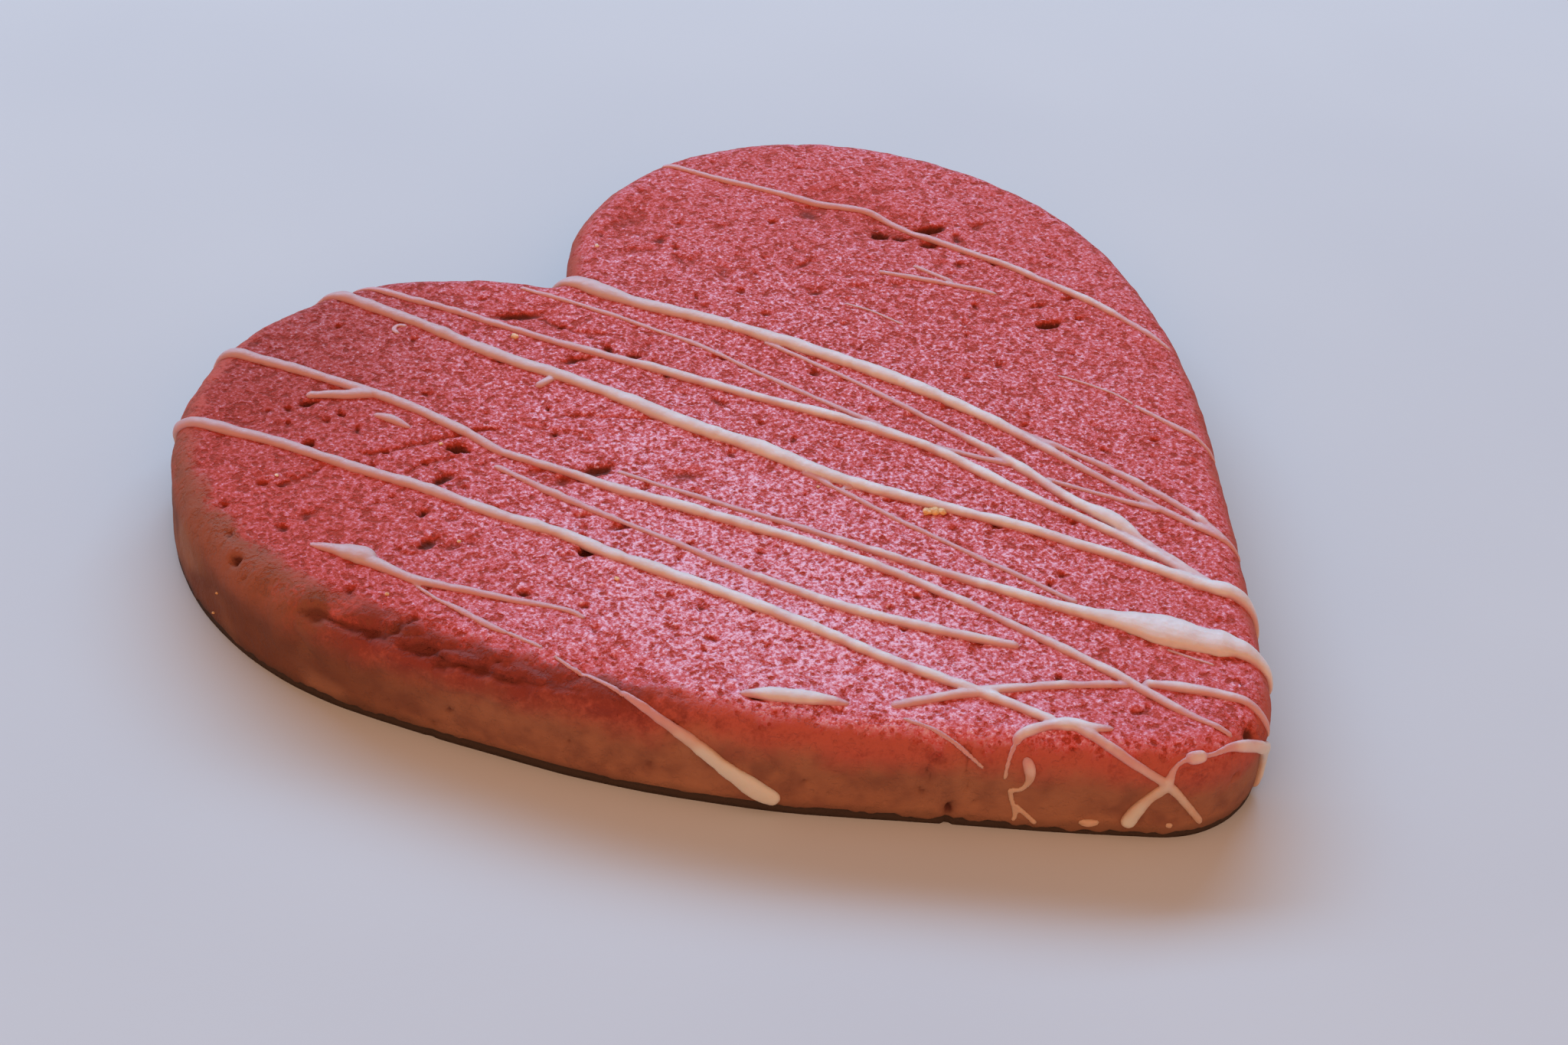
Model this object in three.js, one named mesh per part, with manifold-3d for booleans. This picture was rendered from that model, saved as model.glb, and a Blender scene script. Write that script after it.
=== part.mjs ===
// A heart-shaped sugar cookie with lines of white icing drizzled over it.
// Millimetres, +Z up. The cookie lies on its flat underside, z = 0, with the tip of the heart
// towards -Y, and its origin is the middle of its footprint.
//
// The heart is cut from a rolled sheet, so it is an outline with one edge profile: a small rounding
// at the base, an upright wall and a wide baked rounding up to the flat top. The icing is a set of
// beads that follow the surface, run over the edge and are fused to the biscuit.

import * as THREE from "three";
import { mergeVertices } from "three/addons/utils/BufferGeometryUtils.js";
import Module from "manifold-3d";

// Driving dimensions of the biscuit.
const THICKNESS = 8.7;
const TOP_ROUND = 3.0; // radius of the edge between the wall and the top
const BASE_ROUND = 1.0;
const NOTCH_Y = 36.45; // bottom of the notch between the two lobes
const NOTCH_ROUND = 1.6;

// Each side of the heart runs from the notch to the tip. It climbs out of the notch at the angle
// "rise" and then bends clockwise through arcs of [radius, degrees]. The tip arc closes it.
const RIGHT_SIDE = {
  rise: 53.3,
  arcs: [
    [26.5, 107.2],
    [32, 56.2],
    [72, 21.6],
    [760, 2.9],
  ],
};
const LEFT_SIDE = {
  rise: 54.2,
  arcs: [
    [25.5, 79],
    [29.7, 89.3],
    [117, 19],
    [342, 4.6],
  ],
};

// Shallow dents in the baked surface: middle [x, y], half length, half width, angle of the length
// in degrees from +X, and depth.
const DENTS = [
  { at: [31, 31], reach: [4.5, 3], angle: 0, depth: 0.45 },
  { at: [32.5, 24.5], reach: [4.5, 3], angle: -35, depth: 0.5 },
  { at: [12, 40], reach: [5, 2.5], angle: 15, depth: 0.4 },
  { at: [-7, 33], reach: [4, 2.5], angle: -55, depth: 0.3 },
  { at: [-46.5, 8], reach: [5, 2], angle: -62, depth: 0.35 },
  { at: [-42.5, 0], reach: [5, 2], angle: -58, depth: 0.4 },
  { at: [-34.5, -9.5], reach: [4, 2.5], angle: -50, depth: 0.4 },
];

// Icing beads. A bead stands about a third as high as it is wide, and a wide one is flatter.
const BEAD_RISE = 1.25; // height that the widest bead comes near to
const BEAD_SPREAD = 2.6; // width over which the height levels off
const BEAD_SINK = 0.45; // how far the underside of a bead lies inside the biscuit

// Routes of the beads as [x, y, width]. They are drawn on the cookie as if its edge were folded out
// flat: a route that goes on past the top turns down over the edge and the wall by the same length.
const DRIZZLE = [
  // Long lines, from the far rim of the left lobe and the notch down to the right-hand rim.
  [
    [-43.3, 44, 0.9],
    [-41.5, 38, 1.2],
    [-37.1, 29.8, 1.2],
    [-34.6, 24.3, 1.1],
    [-31.1, 17.3, 1.2],
    [-28.6, 10.8, 1.2],
    [-25.7, 4.8, 1.3],
    [-24.2, 0.3, 1.3],
    [-19.2, -12.1, 1.2],
    [-15.2, -24.1, 1.1],
    [-12.4, -31.1, 1.1],
    [-10.6, -36.6, 1],
  ],
  [
    [-34.5, 49, 0.8],
    [-32, 43, 1.2],
    [-27.6, 34.3, 1.1],
    [-25.1, 28.3, 1.1],
    [-23.4, 21.8, 1],
    [-22.6, 17.4, 0.9],
    [-20.1, 11.9, 0.9],
    [-18.1, 7.3, 1.1],
    [-15.2, 1.8, 1.2],
    [-10.7, -7.1, 1.1],
    [-7.1, -15.6, 1],
    [-4.7, -24.6, 0.9],
    [-2.4, -35.6, 1],
    [-1.3, -42.4, 0.8],
    [-0.6, -44.8, 0.6],
    [-0.2, -46.2, 0.5],
  ],
  [
    [-21, 50.5, 0.8],
    [-19, 45.5, 1.2],
    [-16.2, 37.8, 1.3],
    [-13.2, 28.3, 1.4],
    [-9.5, 19.3, 1.5],
    [-7.1, 11.3, 1.6],
    [-4.2, 4.3, 1.7],
    [-1.9, -2.7, 1.4],
    [2.3, -10.7, 1.3],
    [6.8, -19.1, 1.2],
    [10.2, -26.6, 1.2],
    [12.7, -32.6, 1.5],
    [14, -34.8, 1.7],
    [15, -37.5, 1.2],
    [15.8, -40, 0.7],
  ],
  [
    [-17.3, 48.5, 0.6],
    [-15.7, 44.5, 0.8],
    [-11.6, 36.3, 0.9],
    [-6.4, 24.9, 0.9],
    [-2.9, 18.3, 1.1],
    [0.8, 10.8, 1.1],
    [4.8, 3.3, 1.2],
    [8, -4.2, 1.2],
    [9.8, -14.1, 1.1],
    [12.2, -24.6, 1],
    [13.1, -33.1, 1],
  ],
  [
    [-0.2, 37.3, 1.6],
    [0.3, 34.5, 2],
    [2.6, 28.3, 1.5],
    [7.1, 20.3, 1.5],
    [11.1, 10.8, 1.6],
    [14, 2.8, 1.5],
    [16.1, -7.1, 1.2],
    [17.2, -16.1, 0.8],
    [18.3, -25.1, 0.8],
    [19.4, -30, 0.8],
  ],
  // Thin lines that leave a long line or join one.
  [
    [-4.6, 36.9, 0.6],
    [-1.1, 29.4, 0.6],
    [2.4, 19.9, 0.6],
    [4.5, 10.4, 0.6],
    [7.1, -0.1, 0.7],
  ],
  [
    [7.9, 16.4, 0.6],
    [10.1, 5.9, 0.6],
    [11.7, -4.1, 0.8],
    [12.5, -11.1, 1.1],
    [12.7, -18.6, 1.2],
    [13.3, -21.5, 1.7],
    [13.2, -25.1, 1],
    [13.2, -33.1, 0.9],
  ],
  [
    [8.5, -4.6, 0.7],
    [12.3, -11.1, 0.7],
  ],
  [
    [13.1, -14.1, 0.6],
    [17.9, -23.6, 0.7],
  ],
  [
    [16.6, -7.6, 0.7],
    [18.7, -15.6, 0.8],
    [19.8, -25.1, 0.8],
    [19.4, -29.8, 0.8],
    [20.2, -32, 0.5],
  ],
  [
    [-24.4, 16.4, 0.6],
    [-22.9, 10.4, 0.8],
    [-20.1, 1.9, 0.6],
    [-16.8, -8.6, 0.9],
    [-13.6, -16.6, 1.1],
    [-8.1, -25.4, 1],
    [-5.9, -28.4, 0.7],
  ],
  [
    [-16.4, 9.4, 0.5],
    [-14.3, 4.4, 0.6],
    [-9.5, -5.6, 0.7],
    [-5.9, -13.6, 0.9],
    [-1.5, -22.8, 1.1],
    [1.6, -28.8, 1.5],
    [3.6, -32, 2.5],
    [5.2, -34.8, 3.5],
    [6.6, -37.2, 3.2],
    [8.6, -40.3, 2.1],
    [10.5, -44.5, 1],
  ],
  [
    [-2.9, -3.4, 0.6],
    [-1.3, -12.1, 0.6],
    [2.2, -27.6, 0.6],
  ],
  [
    [-31.1, 34.3, 0.9],
    [-28.6, 32.5, 1.1],
    [-26, 30.8, 1.1],
  ],
  [
    [-14, 23.2, 0.8],
    [-11.7, 23.4, 0.8],
  ],
  [
    [-28.1, 28.5, 0.6],
    [-27.3, 26.8, 0.9],
    [-26.7, 24.9, 0.5],
  ],
  // Lines that start inside the left lobe and run over the near edge.
  [
    [-43.3, 17.1, 0.5],
    [-42.4, 15.6, 1.1],
    [-41.5, 14.2, 1.8],
    [-40.8, 12.9, 2.1],
    [-40.3, 11.9, 1.9],
  ],
  [
    [-41.6, 13.6, 1],
    [-40.8, 12, 1.3],
    [-40.3, 10.6, 1.15],
    [-39.4, 8, 0.9],
    [-38, 6, 0.8],
    [-35.8, 2.8, 0.8],
    [-34.4, 0.8, 0.65],
    [-32.9, -1.2, 0.6],
    [-31.8, -3.2, 0.55],
    [-31.6, -4.1, 0.5],
  ],
  [
    [-39.3, 4.4, 0.5],
    [-38.9, 3.2, 0.6],
    [-38.2, -0.2, 0.7],
    [-37.6, -1.8, 0.5],
  ],
  [
    [-36.2, -7.8, 0.5],
    [-35.2, -11.3, 0.6],
    [-34.4, -15.2, 0.85],
    [-33.8, -19, 1.1],
    [-33.5, -23, 1.3],
    [-33, -26, 1.5],
    [-32.3, -27.9, 1.3],
  ],
  [
    [-28, -18.4, 0.7],
    [-24.8, -21.5, 1.7],
    [-21.9, -24.7, 0.6],
  ],
  // Crossing lines and loops at the tip.
  [
    [-19.6, -26.9, 0.8],
    [-14.1, -29.4, 1],
    [-8.3, -32.8, 0.9],
    [-2.3, -37.1, 0.7],
  ],
  [
    [-14.7, -36, 0.6],
    [-14.1, -35.6, 0.9],
    [-12.9, -35.8, 1],
    [-11.2, -36.5, 1.1],
    [-10, -37.3, 1.5],
    [-8.9, -38.6, 1.1],
    [-7.4, -39.8, 0.5],
  ],
  [
    [-9.9, -37.3, 1.1],
    [-9.1, -40.5, 0.9],
    [-8.5, -42.8, 0.85],
    [-7.8, -45, 0.8],
    [-7.4, -46.6, 1],
    [-6.8, -49.2, 0.85],
    [-6, -51.4, 0.8],
    [-5.2, -52.8, 0.6],
  ],
  [
    [-12.6, -47.9, 1.4],
    [-11, -47.1, 1.2],
    [-9.2, -46.5, 1.1],
    [-7.6, -46.3, 1.1],
    [-6.2, -45.5, 0.6],
    [-5.2, -45.4, 0.5],
    [-4.2, -45.8, 0.6],
  ],
  [
    [-5, -45.4, 1.1],
    [-3.2, -46.2, 1.2],
  ],
  [
    [-3.4, -46.1, 0.5],
    [-2.4, -46.5, 0.5],
    [-1, -46.8, 0.75],
    [0.6, -47.4, 1],
    [3.2, -48.4, 1.2],
    [5.2, -49.2, 1.5],
    [6.6, -50.2, 1.5],
    [7.3, -51.8, 1.2],
    [7.3, -53.2, 0.7],
  ],
  [
    [-1.4, -37.6, 0.9],
    [1.8, -41.3, 1.1],
    [3.5, -44.1, 1],
    [4.6, -46.8, 0.7],
    [5.3, -48, 0.5],
  ],
  [
    [-14.7, -37.1, 0.8],
    [-15, -38, 1],
    [-15.5, -38.8, 0.8],
    [-16.3, -39.3, 0.55],
    [-17, -39.3, 0.5],
    [-17.5, -38.8, 0.5],
  ],
  [
    [-17.4, -38.7, 0.55],
    [-17.9, -39.5, 0.5],
    [-18.3, -40.4, 0.5],
    [-18.8, -41.3, 0.5],
    [-19.4, -41.8, 0.5],
  ],
  [
    [-18.2, -40.3, 0.5],
    [-18.1, -41.4, 0.5],
    [-18, -43.2, 0.5],
  ],
  // Lines on the right lobe.
  [
    [22, 46.5, 0.6],
    [25, 39.9, 0.8],
    [29.1, 32.8, 0.9],
    [32.8, 27.7, 0.8],
    [34, 20.9, 0.8],
    [36.8, 11.4, 0.9],
    [38.7, 0.9, 0.9],
    [39, -7.5, 0.6],
  ],
  [
    [25.4, 18.7, 0.6],
    [29.1, 13.6, 0.7],
    [32.1, 8.9, 0.6],
  ],
  [
    [29.1, 17.5, 0.6],
    [30.1, 12.9, 0.6],
  ],
  [
    [28.4, -11.6, 0.5],
    [29.1, -17.1, 0.7],
    [29.6, -21.5, 0.6],
  ],
];

// How finely the curves are divided into facets.
const ARC_STEP = THREE.MathUtils.degToRad(5);
const SIDE_STEP = 5; // longest facet along the outline
const EDGE_FACETS = 5;
const BASE_FACETS = 2;
const TOP_RINGS = 5;
const HUB = { x: 0, y: 4 }; // the rings of facets on the top and base close in on this point
const BEAD_STEP = { least: 0.8, most: 7 }; // length of a facet along a bead
const BEAD_SAG = 0.1; // how far a facet may stray from the bent middle line of its bead
const BEAD_FACETS = 4;
const BEAD_END = 0.4; // width of a bead's very end, as a share of the width beside it

// One side of the heart as points with their outward normals, from the notch to the tip.
function heartSide({ rise, arcs }) {
  const points = [{ x: 0, y: NOTCH_Y, nx: 0, ny: 1 }];
  let heading = 0;

  // Adds an arc that bends clockwise for a positive turn and anticlockwise for a negative one.
  function bend(radius, turn) {
    const start = points[points.length - 1];
    const hand = Math.sign(turn);
    const middleX = start.x + hand * radius * Math.sin(heading);
    const middleY = start.y - hand * radius * Math.cos(heading);
    const length = radius * Math.abs(turn);
    const steps = Math.ceil(Math.max(Math.abs(turn) / ARC_STEP, length / SIDE_STEP));
    for (let i = 1; i <= steps; i++) {
      const angle = heading - (turn * i) / steps;
      const nx = -Math.sin(angle);
      const ny = Math.cos(angle);
      const x = middleX + hand * radius * nx;
      const y = middleY + hand * radius * ny;
      points.push({ x, y, nx, ny });
    }
    heading -= turn;
  }

  bend(NOTCH_ROUND, -THREE.MathUtils.degToRad(rise));
  for (const [radius, degrees] of arcs) {
    bend(radius, THREE.MathUtils.degToRad(degrees));
  }
  const last = points[points.length - 1];
  bend(-last.x / Math.sin(heading), heading + Math.PI);
  return points;
}

// The whole outline, clockwise from the notch. The left side is stretched by a hair so that both
// sides reach the same tip.
function heartOutline() {
  const right = heartSide(RIGHT_SIDE);
  const left = heartSide(LEFT_SIDE);
  const rightLength = NOTCH_Y - right[right.length - 1].y;
  const leftLength = NOTCH_Y - left[left.length - 1].y;
  const stretch = rightLength / leftLength;
  const mirrored = left.slice(1, -1).map((p) => ({
    x: -p.x,
    y: NOTCH_Y + (p.y - NOTCH_Y) * stretch,
    nx: -p.nx,
    ny: p.ny,
  }));
  return [...right, ...mirrored.reverse()];
}

const outline = heartOutline();

// Depth of the dents at a place on the folded-out cookie.
function dentDepth(x, y) {
  let depth = 0;
  for (const dent of DENTS) {
    const angle = THREE.MathUtils.degToRad(dent.angle);
    const dx = x - dent.at[0];
    const dy = y - dent.at[1];
    const along = (dx * Math.cos(angle) + dy * Math.sin(angle)) / dent.reach[0];
    const across = (dy * Math.cos(angle) - dx * Math.sin(angle)) / dent.reach[1];
    depth += dent.depth * Math.exp(-(along ** 2) - across ** 2);
  }
  return depth;
}

// The point of the outline whose outward normal runs through (x, y), and how far outside the outline
// (x, y) lies. The normal turns evenly along a facet, so the outline acts as a smooth curve.
function nearestEdge(x, y) {
  const rounds = 3;
  const slack = 1e-4;
  let best = { gap: Infinity };
  outline.forEach((a, i) => {
    const b = outline[(i + 1) % outline.length];
    const span = new THREE.Vector2(b.x - a.x, b.y - a.y);
    const turn = new THREE.Vector2(b.nx - a.nx, b.ny - a.ny);
    const place = new THREE.Vector2(x - a.x, y - a.y);
    const normal = new THREE.Vector2();
    const fromEdge = new THREE.Vector2();
    let t = place.dot(span) / span.lengthSq();
    for (let round = 0; round <= rounds; round++) {
      normal.set(a.nx, a.ny).addScaledVector(turn, t);
      fromEdge.copy(place).addScaledVector(span, -t);
      if (round < rounds) {
        t += fromEdge.cross(normal) / (span.cross(normal) - fromEdge.cross(turn));
      }
    }
    const gap = fromEdge.length();
    if (t > -slack && t < 1 + slack && gap < best.gap) {
      normal.normalize();
      const out = fromEdge.dot(normal);
      best = { x: a.x + span.x * t, y: a.y + span.y * t, nx: normal.x, ny: normal.y, out, gap };
    }
  });
  return best;
}

// A point on the edge or the wall beside the outline point "edge". It lies "over" millimetres past
// the flat top, measured down along the surface, and "lift" above that surface.
function wrapDown(edge, over, lift) {
  const turn = Math.min(over / TOP_ROUND, Math.PI / 2);
  const drop = Math.max(over - (TOP_ROUND * Math.PI) / 2, 0);
  const side = (TOP_ROUND + lift) * Math.sin(turn) - TOP_ROUND;
  const z = THICKNESS - TOP_ROUND + (TOP_ROUND + lift) * Math.cos(turn) - drop;
  return new THREE.Vector3(edge.x + edge.nx * side, edge.y + edge.ny * side, z);
}

// A point "lift" above the surface of the biscuit at a place on the folded-out cookie.
function onCookie(x, y, lift) {
  const edge = nearestEdge(x, y);
  const raised = lift - dentDepth(x, y);
  const over = edge.out + TOP_ROUND;
  if (over <= 0) {
    return new THREE.Vector3(x, y, THICKNESS + raised);
  }
  return wrapDown(edge, over, raised);
}

// A closed solid from rings with the same number of points each. The first and last ring are
// closed by a fan to an end point.
function solidFromRings(rings, firstEnd, lastEnd) {
  const count = rings[0].length;
  const points = [...rings.flat(), firstEnd, lastEnd];
  const first = points.length - 2;
  const last = points.length - 1;
  const faces = [];
  for (let i = 0; i < count; i++) {
    const next = (i + 1) % count;
    faces.push(first, next, i);
    for (let r = 0; r + 1 < rings.length; r++) {
      const a = r * count + i;
      const b = r * count + next;
      faces.push(a, b, a + count);
      faces.push(b, b + count, a + count);
    }
    const lastRing = (rings.length - 1) * count;
    faces.push(last, lastRing + i, lastRing + next);
  }
  const geometry = new THREE.BufferGeometry().setFromPoints(points);
  geometry.setIndex(faces);
  return geometry;
}

// The biscuit: rings from the base up the wall, over the edge and in to the middle of the top.
function biscuitGeometry() {
  const rings = [];
  for (let i = 0; i <= BASE_FACETS; i++) {
    const angle = (Math.PI / 2) * (i / BASE_FACETS);
    const side = BASE_ROUND * (Math.sin(angle) - 1);
    const z = BASE_ROUND * (1 - Math.cos(angle));
    rings.push(outline.map((p) => new THREE.Vector3(p.x + p.nx * side, p.y + p.ny * side, z)));
  }

  const edgeLength = (TOP_ROUND * Math.PI) / 2;
  const wallLength = THICKNESS - TOP_ROUND - BASE_ROUND;
  const wallMiddle = edgeLength + wallLength / 2;
  const overs = [wallMiddle];
  for (let i = EDGE_FACETS; i >= 0; i--) {
    overs.push((edgeLength * i) / EDGE_FACETS);
  }
  for (const over of overs) {
    const out = over - TOP_ROUND;
    rings.push(
      outline.map((p) => wrapDown(p, over, -dentDepth(p.x + p.nx * out, p.y + p.ny * out))),
    );
  }

  const rim = rings[rings.length - 1];
  for (let i = TOP_RINGS - 1; i >= 1; i--) {
    const share = i / TOP_RINGS;
    rings.push(
      rim.map((p) => {
        const x = HUB.x + (p.x - HUB.x) * share;
        const y = HUB.y + (p.y - HUB.y) * share;
        return new THREE.Vector3(x, y, THICKNESS - dentDepth(x, y));
      }),
    );
  }
  const underHub = new THREE.Vector3(HUB.x, HUB.y, 0);
  const overHub = new THREE.Vector3(HUB.x, HUB.y, THICKNESS - dentDepth(HUB.x, HUB.y));
  rings.reverse();
  return solidFromRings(rings, overHub, underHub);
}

// Places between two places on a curve, the second one included, closer together where the curve
// bends or turns down over the edge. A place is a share of the curve's length.
function placesBetween(curve, start, end) {
  const onSurface = (place) => {
    const point = curve.getPointAt(place);
    return onCookie(point.x, point.y, 0);
  };
  const middle = (start + end) / 2;
  const straight = onSurface(start).lerp(onSurface(end), 0.5);
  const sag = onSurface(middle).distanceTo(straight);
  const length = (end - start) * curve.getLength();
  if (length < BEAD_STEP.least || (length < BEAD_STEP.most && sag < BEAD_SAG)) {
    return [end];
  }
  return [...placesBetween(curve, start, middle), ...placesBetween(curve, middle, end)];
}

// One bead of icing along a route, with rounded ends and its underside inside the biscuit.
function beadGeometry(route) {
  const knots = route.map(([x, y, width]) => new THREE.Vector3(x, y, width));
  const curve = new THREE.CatmullRomCurve3(knots, false, "centripetal");
  const firstEnd = route[0][2] / 2 / curve.getLength();
  const lastEnd = route[route.length - 1][2] / 2 / curve.getLength();
  const inner = [firstEnd, ...placesBetween(curve, firstEnd, 1 - lastEnd)];

  const rings = [0, ...inner, 1].map((place) => {
    const middle = curve.getPointAt(place);
    const along = curve.getTangentAt(place);
    const share = inner.includes(place) ? 1 : BEAD_END;
    const across = new THREE.Vector2(-along.y, along.x).normalize();
    const width = middle.z * share;
    const height = BEAD_RISE * (1 - Math.exp(-width / BEAD_SPREAD));
    const ring = [];
    for (let i = 0; i <= BEAD_FACETS; i++) {
      const angle = (Math.PI * i) / BEAD_FACETS;
      const side = (width / 2) * Math.cos(angle);
      const lift = height * Math.sin(angle);
      ring.push(onCookie(middle.x + across.x * side, middle.y + across.y * side, lift));
    }
    for (const side of [-width / 2, width / 2]) {
      ring.push(onCookie(middle.x + across.x * side, middle.y + across.y * side, -BEAD_SINK));
    }
    return ring;
  });
  const middleOf = (ring) =>
    ring.reduce((sum, p) => sum.add(p), new THREE.Vector3()).divideScalar(ring.length);
  return solidFromRings(rings, middleOf(rings[0]), middleOf(rings[rings.length - 1]));
}

const wasm = await Module();
wasm.setup();

// A closed geometry as a solid that can be joined to others.
function toSolid(geometry) {
  const merged = mergeVertices(geometry);
  return new wasm.Manifold(
    new wasm.Mesh({
      numProp: 3,
      vertProperties: new Float32Array(merged.attributes.position.array),
      triVerts: new Uint32Array(merged.index.array),
    }),
  );
}

// The three.js geometry of a joined solid, whose vertices hold x, y and z first.
function toGeometry(solid) {
  const { numProp, numVert, vertProperties, triVerts } = solid.getMesh();
  const positions = new Float32Array(numVert * 3);
  for (let i = 0; i < numVert; i++) {
    positions.set(vertProperties.subarray(i * numProp, i * numProp + 3), i * 3);
  }
  const geometry = new THREE.BufferGeometry();
  geometry.setAttribute("position", new THREE.BufferAttribute(positions, 3));
  geometry.setIndex(new THREE.BufferAttribute(triVerts, 1));
  return geometry;
}

const biscuit = toSolid(biscuitGeometry());
const iced = DRIZZLE.reduce((solid, route) => solid.add(toSolid(beadGeometry(route))), biscuit);
const geometry = toGeometry(iced);

// The origin goes to the middle of the footprint.
geometry.computeBoundingBox();
const centre = geometry.boundingBox.getCenter(new THREE.Vector3());
geometry.translate(-centre.x, -centre.y, 0);
geometry.computeVertexNormals();

const bakedDough = new THREE.MeshStandardMaterial({
  color: 0xa8444c,
  roughness: 0.85,
  metalness: 0,
});

const cookie = new THREE.Mesh(geometry, bakedDough);
cookie.name = "cookie";

const model = new THREE.Group();
model.add(cookie);

export default model;
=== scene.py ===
"""A heart-shaped sugar cookie with lines of white icing drizzled over it.

The cookie lies on its flat underside, z = 0, with the tip of the heart towards -Y. Every length in
the code is in metres. The tables are in millimetres, times MM.
"""

import math
import random

import bmesh
import bpy
import numpy as np
from bpy.props import FloatProperty, FloatVectorProperty, IntProperty, PointerProperty
from bpy.types import Operator, Panel, PropertyGroup
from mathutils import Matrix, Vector, noise
from mathutils.geometry import delaunay_2d_cdt
from mathutils.kdtree import KDTree


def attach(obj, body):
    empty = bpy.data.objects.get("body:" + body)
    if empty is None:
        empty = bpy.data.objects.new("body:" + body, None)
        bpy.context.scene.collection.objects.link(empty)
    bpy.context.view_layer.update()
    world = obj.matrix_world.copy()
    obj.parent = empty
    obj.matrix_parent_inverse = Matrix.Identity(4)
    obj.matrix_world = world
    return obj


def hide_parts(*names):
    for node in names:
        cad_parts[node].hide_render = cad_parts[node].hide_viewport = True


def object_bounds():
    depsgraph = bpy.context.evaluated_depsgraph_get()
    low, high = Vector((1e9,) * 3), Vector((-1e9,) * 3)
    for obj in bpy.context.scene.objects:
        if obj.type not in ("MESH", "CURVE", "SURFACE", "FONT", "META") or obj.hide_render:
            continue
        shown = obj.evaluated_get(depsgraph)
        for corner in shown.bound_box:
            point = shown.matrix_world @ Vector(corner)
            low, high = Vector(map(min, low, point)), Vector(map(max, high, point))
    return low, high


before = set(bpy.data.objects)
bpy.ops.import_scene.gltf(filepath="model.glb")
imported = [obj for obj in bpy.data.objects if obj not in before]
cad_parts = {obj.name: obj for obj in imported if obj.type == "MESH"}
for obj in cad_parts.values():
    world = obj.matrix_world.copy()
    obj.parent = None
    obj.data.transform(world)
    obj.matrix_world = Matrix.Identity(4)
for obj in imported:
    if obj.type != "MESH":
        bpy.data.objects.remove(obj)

bl_info = {
    "name": "Iced Sugar Cookie",
    "version": (1, 0, 0),
    "blender": (4, 5, 0),
    "location": "View3D > Sidebar > Cookie",
    "description": "Builds a heart-shaped sugar cookie with drizzled icing on a pale table",
    "category": "Add Mesh",
}

CAD_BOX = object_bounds()
NODE = "cookie"
BODY = "root"

MM = 0.001

# ---------------------------------------------------------------------------------------------
# Form of the biscuit
# ---------------------------------------------------------------------------------------------

THICKNESS = 8.7 * MM
TOP_ROUND = 3.0 * MM  # radius of the edge between the wall and the top
BASE_ROUND = 1.0 * MM
NOTCH_Y = 36.45 * MM  # bottom of the notch between the two lobes
NOTCH_ROUND = 1.6 * MM

# Each side of the heart runs from the notch to the tip. It climbs out of the notch at the angle
# "rise" and then bends clockwise through arcs of (radius, degrees). The tip arc closes it.
RIGHT_RISE = 53.3
RIGHT_ARCS = ((26.5, 107.2), (32, 56.2), (72, 21.6), (760, 2.9))
LEFT_RISE = 54.2
LEFT_ARCS = ((25.5, 79), (29.7, 89.3), (117, 19), (342, 4.6))

# From the heart's own axes to the middle of the footprint.
CENTRING = (-0.0805 * MM, -0.2071 * MM)

# Lengths along the surface, from the edge of the flat top outwards and down.
ROUND_END = TOP_ROUND * math.pi / 2
WALL_END = ROUND_END + THICKNESS - TOP_ROUND - BASE_ROUND

# Shallow dents: middle x, y, half length, half width, angle of the length in degrees, depth.
# The table of holes below has the same order.
DENTS = (
    (31, 31, 4.5, 3, 0, 0.45),
    (32.5, 24.5, 4.5, 3, -35, 0.5),
    (12, 40, 5, 2.5, 15, 0.4),
    (-7, 33, 4, 2.5, -55, 0.3),
    (-46.5, 8, 5, 2, -62, 0.35),
    (-42.5, 0, 5, 2, -58, 0.4),
    (-34.5, -9.5, 4, 2.5, -50, 0.4),
)

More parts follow.
